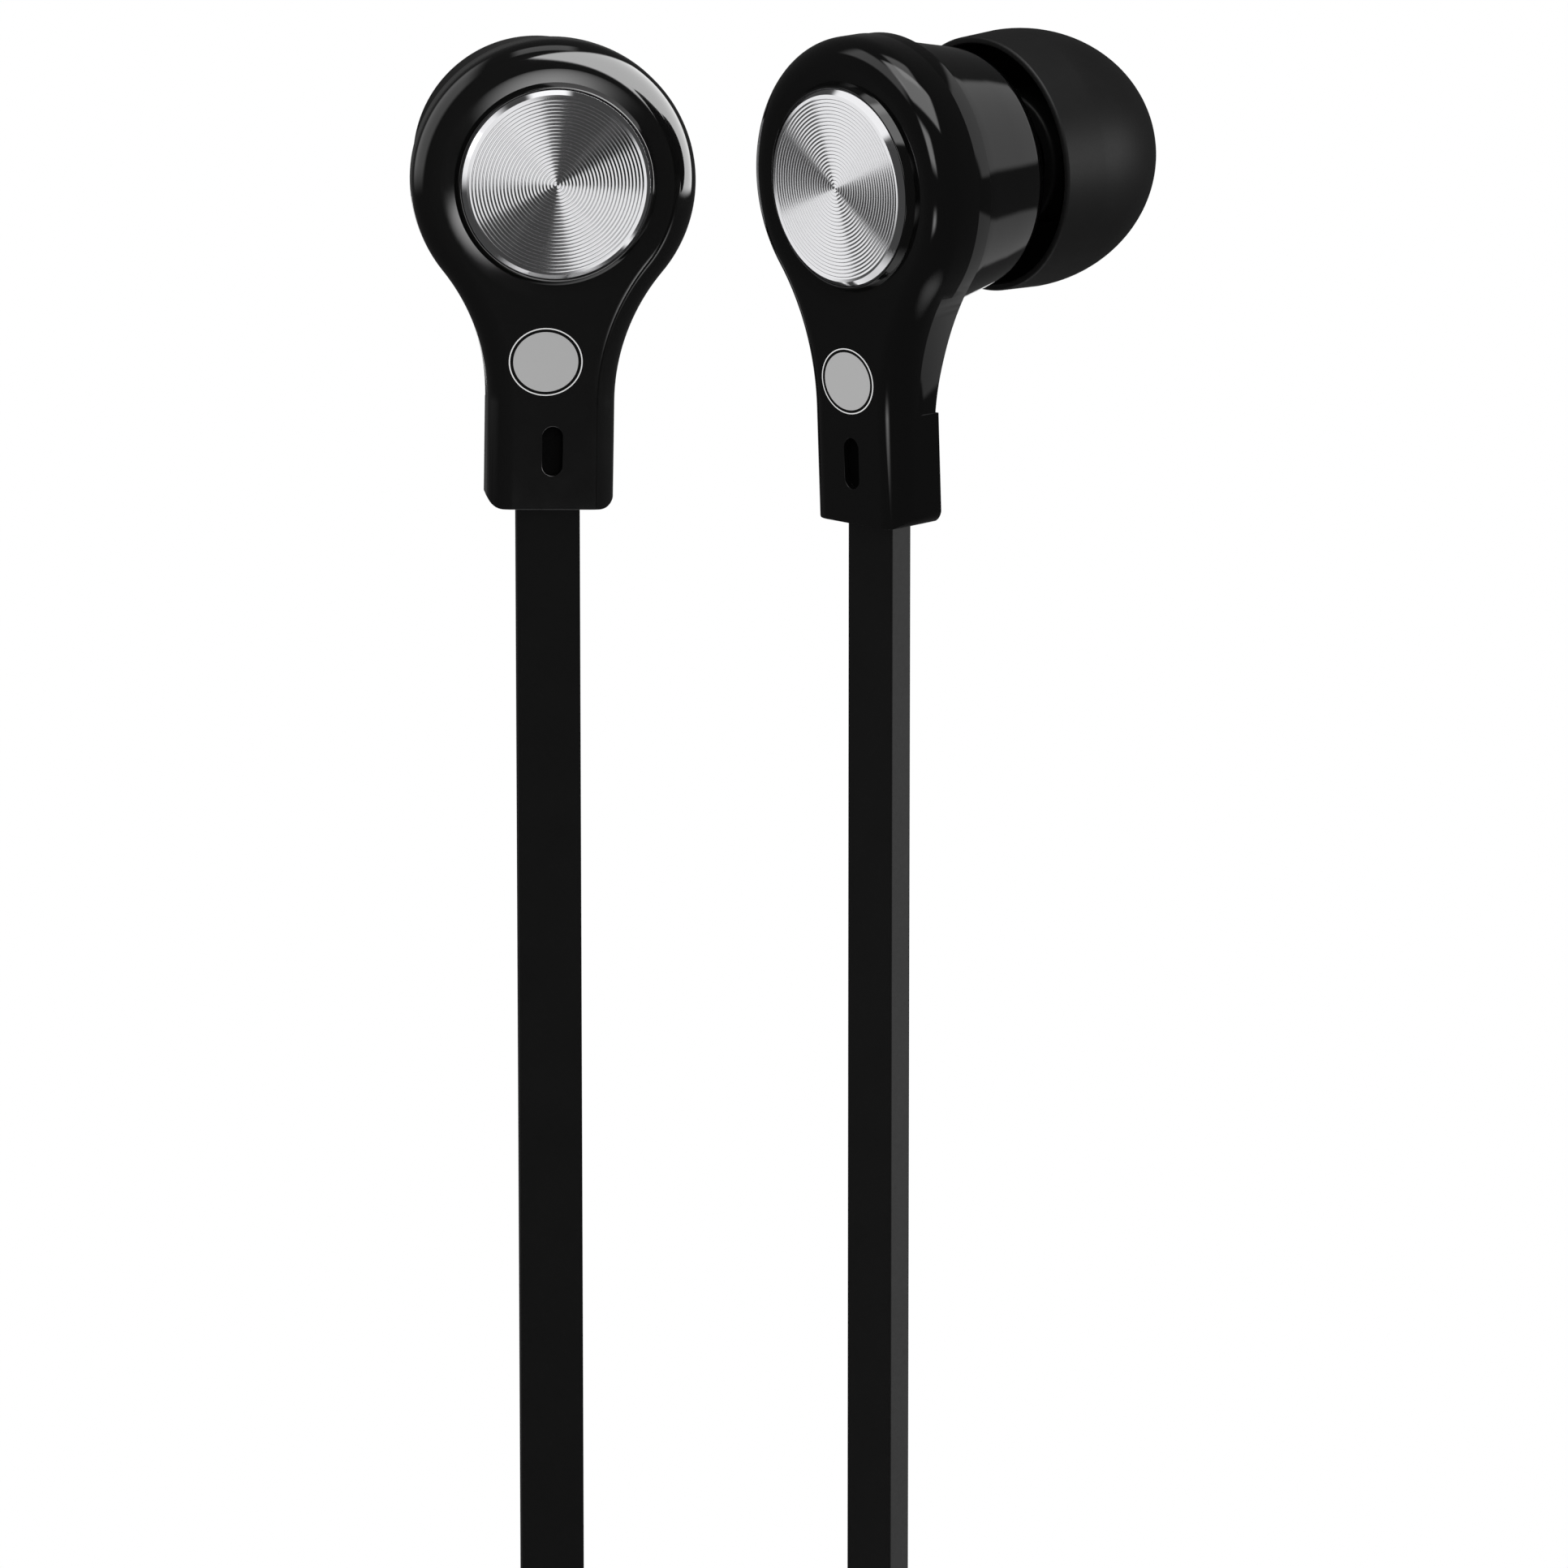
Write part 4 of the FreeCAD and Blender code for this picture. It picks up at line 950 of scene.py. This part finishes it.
def cord_section():
    """The rounded rectangle across the cord, as (width, thickness) places."""
    shape = bmesh.new()
    bmesh.ops.create_grid(shape, x_segments=1, y_segments=1, size=0.5)
    bmesh.ops.scale(shape, verts=shape.verts[:], vec=(CORD_WIDTH, CORD_THICK, 1))
    rounded(shape, shape.verts[:], CORD_ROUND, 4)
    shape.faces.ensure_lookup_table()
    corners = [spot.co.xy.copy() for spot in shape.faces[0].verts]
    shape.free()
    return corners


def flat_cord(line, twist):
    """The section carried along a line, its width turned by the twist at the straight lead's end."""
    shape, section = bmesh.new(), cord_section()
    before = None
    for index, spot in enumerate(line):
        ahead, behind = line[min(index + 1, len(line) - 1)], line[max(index - 1, 0)]
        along = (ahead - behind).normalized()
        share = min(max((STRAIGHT_END - spot.z) / (STRAIGHT_END - COIL_TOP), 0), 1)
        share = share * share * (3 - 2 * share)
        across = Matrix.Rotation(math.radians(twist) * (1 - share), 3, "Z") @ Vector((1, 0, 0))
        across = (across - along * across.dot(along)).normalized()
        thick = along.cross(across)
        ring = [shape.verts.new(spot + across * x + thick * y) for x, y in section]
        edges = [shape.edges.new((ring[place - 1], ring[place])) for place in range(len(ring))]
        if before:
            bmesh.ops.bridge_loops(shape, edges=before + edges)
        before = edges
        if index in (0, len(line) - 1):
            shape.faces.new(ring)
    bmesh.ops.recalc_face_normals(shape, faces=shape.faces[:])
    return shape


def line_length(line):
    """A line's length in its own unit."""
    return sum((ahead - spot).length for spot, ahead in zip(line, line[1:]))


cords = {}
for name, nodes in (("left", ["left_lead", "left_coil"]), ("right", ["right_lead", "right_coil"]),
                    ("main", ["main_lead", "main_coil", "plug_lead"])):
    line = spline_line(ROUTES[name])
    piece = finished(f"{name}_cord", flat_cord(line, TWIST[name]), RACK, ROOT, jacket, nodes)
    cords[name] = (piece, [RACK @ spot for spot in line])
    print(f"{name} cord: {line_length(line):.0f} mm")

splitter_halves = [frame["nodes"][name] for name in ("splitter_front", "splitter_back")]
plug_pieces = [frame["nodes"][f"plug_{name}"] for name in (
    "relief", "handle", "collar", "sleeve", "ring", "insulators", "tip")]
for name, length, end, extra in (("left", 0.298, "fitting", splitter_halves[:1]),
                                 ("right", 0.300, "fitting", splitter_halves[1:]),
                                 ("main", 0.924, "plug", plug_pieces)):
    piece, line = cords[name]

# %% [markdown]
# ## Studio
#
# Black gloss shows only what it reflects, so each light is placed for its reflection: one panel for
# the band on a rim, one for the sheen in the hollow round a disc, two for the bright halves of a spun
# disc, with the dark room between them. Small products are shot one at a time and put side by side
# later, so each bud has panels of its own here, by light linking. A softbox overhead lights everything,
# and three more shape the cord, its splitter and its plug.

# %% A panel


def panel(name, side, heading, rise, reach, width, height, radiance, lit=(), tip=0.0, fade=0.2):
    """A flat light that fades to its edges, placed from a bud by two angles and its reach.

    Lit is what the names of the pieces that it lights start with. Without it, it lights all of them.
    """
    lamp = bpy.data.lights.new(name, "AREA")
    lamp.shape, lamp.size, lamp.size_y = "RECTANGLE", width * MM, height * MM
    lamp.energy = radiance * math.pi * width * height * MM * MM
    lamp.use_nodes = True
    tree = lamp.node_tree
    geometry = add(tree, "ShaderNodeNewGeometry")
    place = add(tree, "ShaderNodeSeparateXYZ", Vector=geometry.outputs["Parametric"])
    both = add(tree, "ShaderNodeMath", {"operation": "MULTIPLY"})
    for index, direction in enumerate("XY"):
        near = add(tree, "ShaderNodeMath", {"operation": "PINGPONG"})
        near.inputs[1].default_value = 0.5
        tree.links.new(place.outputs[direction], near.inputs[0])
        edge = add(tree, "ShaderNodeMapRange", {"interpolation_type": "SMOOTHSTEP", "From Max": fade},
                   Value=near.outputs["Value"])
        tree.links.new(edge.outputs["Result"], both.inputs[index])
    tree.links.new(both.outputs["Value"], tree.nodes["Emission"].inputs["Strength"])
    holder = bpy.data.objects.new(name, lamp)
    heading, rise, tip = math.radians(heading), math.radians(rise), math.radians(tip)
    ahead = math.cos(rise)
    way = Vector((math.sin(heading) * ahead, -math.cos(heading) * ahead, math.sin(rise)))
    facing = way.to_track_quat("Z", "Y").to_matrix() @ Matrix.Rotation(tip, 3, "Z")
    holder.rotation_euler = facing.to_euler()
    holder.location = BUDS[side].translation + way * reach * MM
    holder.visible_camera = False
    scene.collection.objects.link(holder)
    if lit:
        group = bpy.data.collections.new(name)
        for piece in scene.objects:
            if piece.name.startswith(lit):
                group.objects.link(piece)
        holder.light_linking.receiver_collection = group


print("a panel of 100 mm at radiance 1:", round(math.pi * 100 * 100 * MM * MM, 4), "W")

# %% [markdown]
# ### Where the panels stand
#
# A heading is counted from the front towards the right, a rise from level, both in degrees. Reach,
# width and height are in millimetres. The last three columns, where they are given, are what a panel
# lights, by how far it is tipped in its own plane and the share of its width that fades at each edge.

# %% Panels
LEFT_BLACK = ("left_face", "left_barrel", "left_silicone")
RIGHT_BLACK = ("right_face", "right_barrel", "right_silicone")
PUT_AWAY = ("main_cord", "splitter", "plug", "cable_tie")
CORDS = ("left_cord", "right_cord", *PUT_AWAY)

# Name, bud, heading, rise, reach, width, height, radiance, what it lights, tip, fade
PANELS = (
    ("top_softbox", "left", 0, 86, 420, 260, 260, 1.3),
    ("rear_softbox", "left", 160, 30, 500, 400, 400, 2.0, CORDS),
    ("low_softbox", "left", -60, -22, 300, 260, 260, 3.0, PUT_AWAY),
    ("left_rim_panel", "left", 63, 29, 95, 254, 166, 9.0, LEFT_BLACK, -4, 0.08),
    ("left_side_panel", "left", -100, 25, 200, 350, 300, 1.1,
     ("left_face", "left_barrel", "left_spun"), 0, 0.25),
    ("left_hollow_panel", "left", 15, -28, 200, 150, 106, 7.0, LEFT_BLACK, 0, 0.3),
    ("left_disc_upper", "left", -40, 12, 300, 520, 450, 1.15, ("left_spun",), 16, 0.06),
    ("left_disc_lower", "left", 50, -34, 300, 450, 390, 1.15, ("left_spun",), 16, 0.06),
    ("right_rim_panel", "right", -85, 42, 300, 300, 180, 0.9, RIGHT_BLACK),
    ("right_front_panel", "right", -12, 64, 250, 330, 215, 2.8, RIGHT_BLACK, 0, 0.12),
    ("right_edge_panel", "right", -40, 12, 250, 120, 130, 3.2, ("right_face",), 0, 0.3),
    ("right_lead_panel", "right", 76, -12, 300, 260, 300, 1.2, ("right_cord",)),
    ("right_streak_panel", "right", -46, -21, 62, 26, 15, 3.6, ("right_face",), 0, 0.5),
    ("right_barrel_upper", "right", 100, 28, 300, 375, 305, 0.7, ("right_barrel",), 0, 0.08),
    ("right_barrel_lower", "right", 100, -40, 300, 375, 240, 0.45, ("right_barrel",), 0, 0.08),
    ("right_tip_panel", "right", 78, 4, 300, 380, 200, 2.2, ("right_silicone",), 0, 0.4),
    ("right_disc_upper", "right", -80, 34, 300, 540, 460, 1.15, ("right_spun",), 32, 0.07),
    ("right_disc_lower", "right", -128, -50, 300, 540, 460, 1.15, ("right_spun",), 32, 0.07),
)
for row in PANELS:
    panel(*row)
print("panels:", len(PANELS))

# %% [markdown]
# ## Background
#
# The photograph's background is plain white. A far wall glows at a strength of 1, but only for the
# camera and for reflections, so it lights nothing. A round pale table under the wound cord takes its
# shadow and fades out towards its edge. The world is white to the camera too, and bright to matt
# surfaces. To glossy ones it is almost dark, which leaves their reflections to the panels.

# %% Background
TABLE_MIDDLE = (6, -25, -152)
TABLE_RADIUS = 110.0
TABLE_SOLID = 0.4
WALL_MIDDLE = (147.7, 1200, -247.6)
WALL_HALF = 150.0
DARK_ROOM = 0.07
DAYLIGHT = 1.1

white = bpy.data.materials.new("white_wall")
white.use_nodes = True
tree = white.node_tree
tree.nodes.clear()
path = add(tree, "ShaderNodeLightPath")
seen = add(tree, "ShaderNodeMath", {"operation": "MAXIMUM"})
tree.links.new(path.outputs["Is Camera Ray"], seen.inputs[0])
tree.links.new(path.outputs["Is Glossy Ray"], seen.inputs[1])
paper = add(tree, "ShaderNodeBsdfDiffuse", {"Color": tint("F4F4F4")})
glow = add(tree, "ShaderNodeEmission", {"Color": tint("FFFFFF"), "Strength": 1.0})
mix = add(tree, "ShaderNodeMixShader", Fac=seen.outputs["Value"])
tree.links.new(paper.outputs["BSDF"], mix.inputs[1])
tree.links.new(glow.outputs["Emission"], mix.inputs[2])
add(tree, "ShaderNodeOutputMaterial", Surface=mix.outputs["Shader"])

pale = plain_finish("pale_table", "E8E8E8", "ECECEC", 3.0, (0.6, 0.7))
tree = pale.node_tree
spot = add(tree, "ShaderNodeVectorMath", {"operation": "DISTANCE"},
           Vector=add(tree, "ShaderNodeTexCoord").outputs["Object"])
spot.inputs[1].default_value = Vector(TABLE_MIDDLE) * MM
soft_edge = add(tree, "ShaderNodeMapRange",
                {"interpolation_type": "SMOOTHSTEP", "From Min": TABLE_RADIUS * MM,
                 "From Max": TABLE_SOLID * TABLE_RADIUS * MM},
                Value=spot.outputs["Value"])
tree.links.new(soft_edge.outputs["Result"], tree.nodes["Principled BSDF"].inputs["Alpha"])


def stage_piece(name, shape, material):
    """Puts up a part of the studio, which isn't part of the earphones."""
    mesh = bpy.data.meshes.new(name)
    bmesh.ops.scale(shape, verts=shape.verts[:], vec=(MM, MM, MM))
    shape.to_mesh(mesh)
    shape.free()
    mesh.materials.append(material)
    piece = bpy.data.objects.new(name, mesh)
    scene.collection.objects.link(piece)


table = bmesh.new()
bmesh.ops.create_circle(table, cap_ends=True, radius=TABLE_RADIUS, segments=96)
bmesh.ops.translate(table, verts=table.verts[:], vec=TABLE_MIDDLE)
stage_piece("table", table, pale)
wall = bmesh.new()
bmesh.ops.create_grid(wall, x_segments=1, y_segments=1, size=WALL_HALF)
turn = Matrix.Rotation(math.radians(90), 3, "X")
bmesh.ops.rotate(wall, verts=wall.verts[:], cent=(0, 0, 0), matrix=turn)
bmesh.ops.translate(wall, verts=wall.verts[:], vec=WALL_MIDDLE)
stage_piece("wall", wall, white)

world = bpy.data.worlds.new("studio")
scene.world = world
world.use_nodes = True
tree = world.node_tree
ground = tree.nodes["Background"]
path = add(tree, "ShaderNodeLightPath")
soft = add(tree, "ShaderNodeMapRange", {"To Min": DARK_ROOM, "To Max": DAYLIGHT},
           Value=path.outputs["Is Diffuse Ray"])
level = add(tree, "ShaderNodeMath", {"operation": "MAXIMUM"})
tree.links.new(path.outputs["Is Camera Ray"], level.inputs[0])
tree.links.new(soft.outputs["Result"], level.inputs[1])
tree.links.new(level.outputs["Value"], ground.inputs["Strength"])
ground.inputs["Color"].default_value = tint("FFFFFF")
print("studio ready")
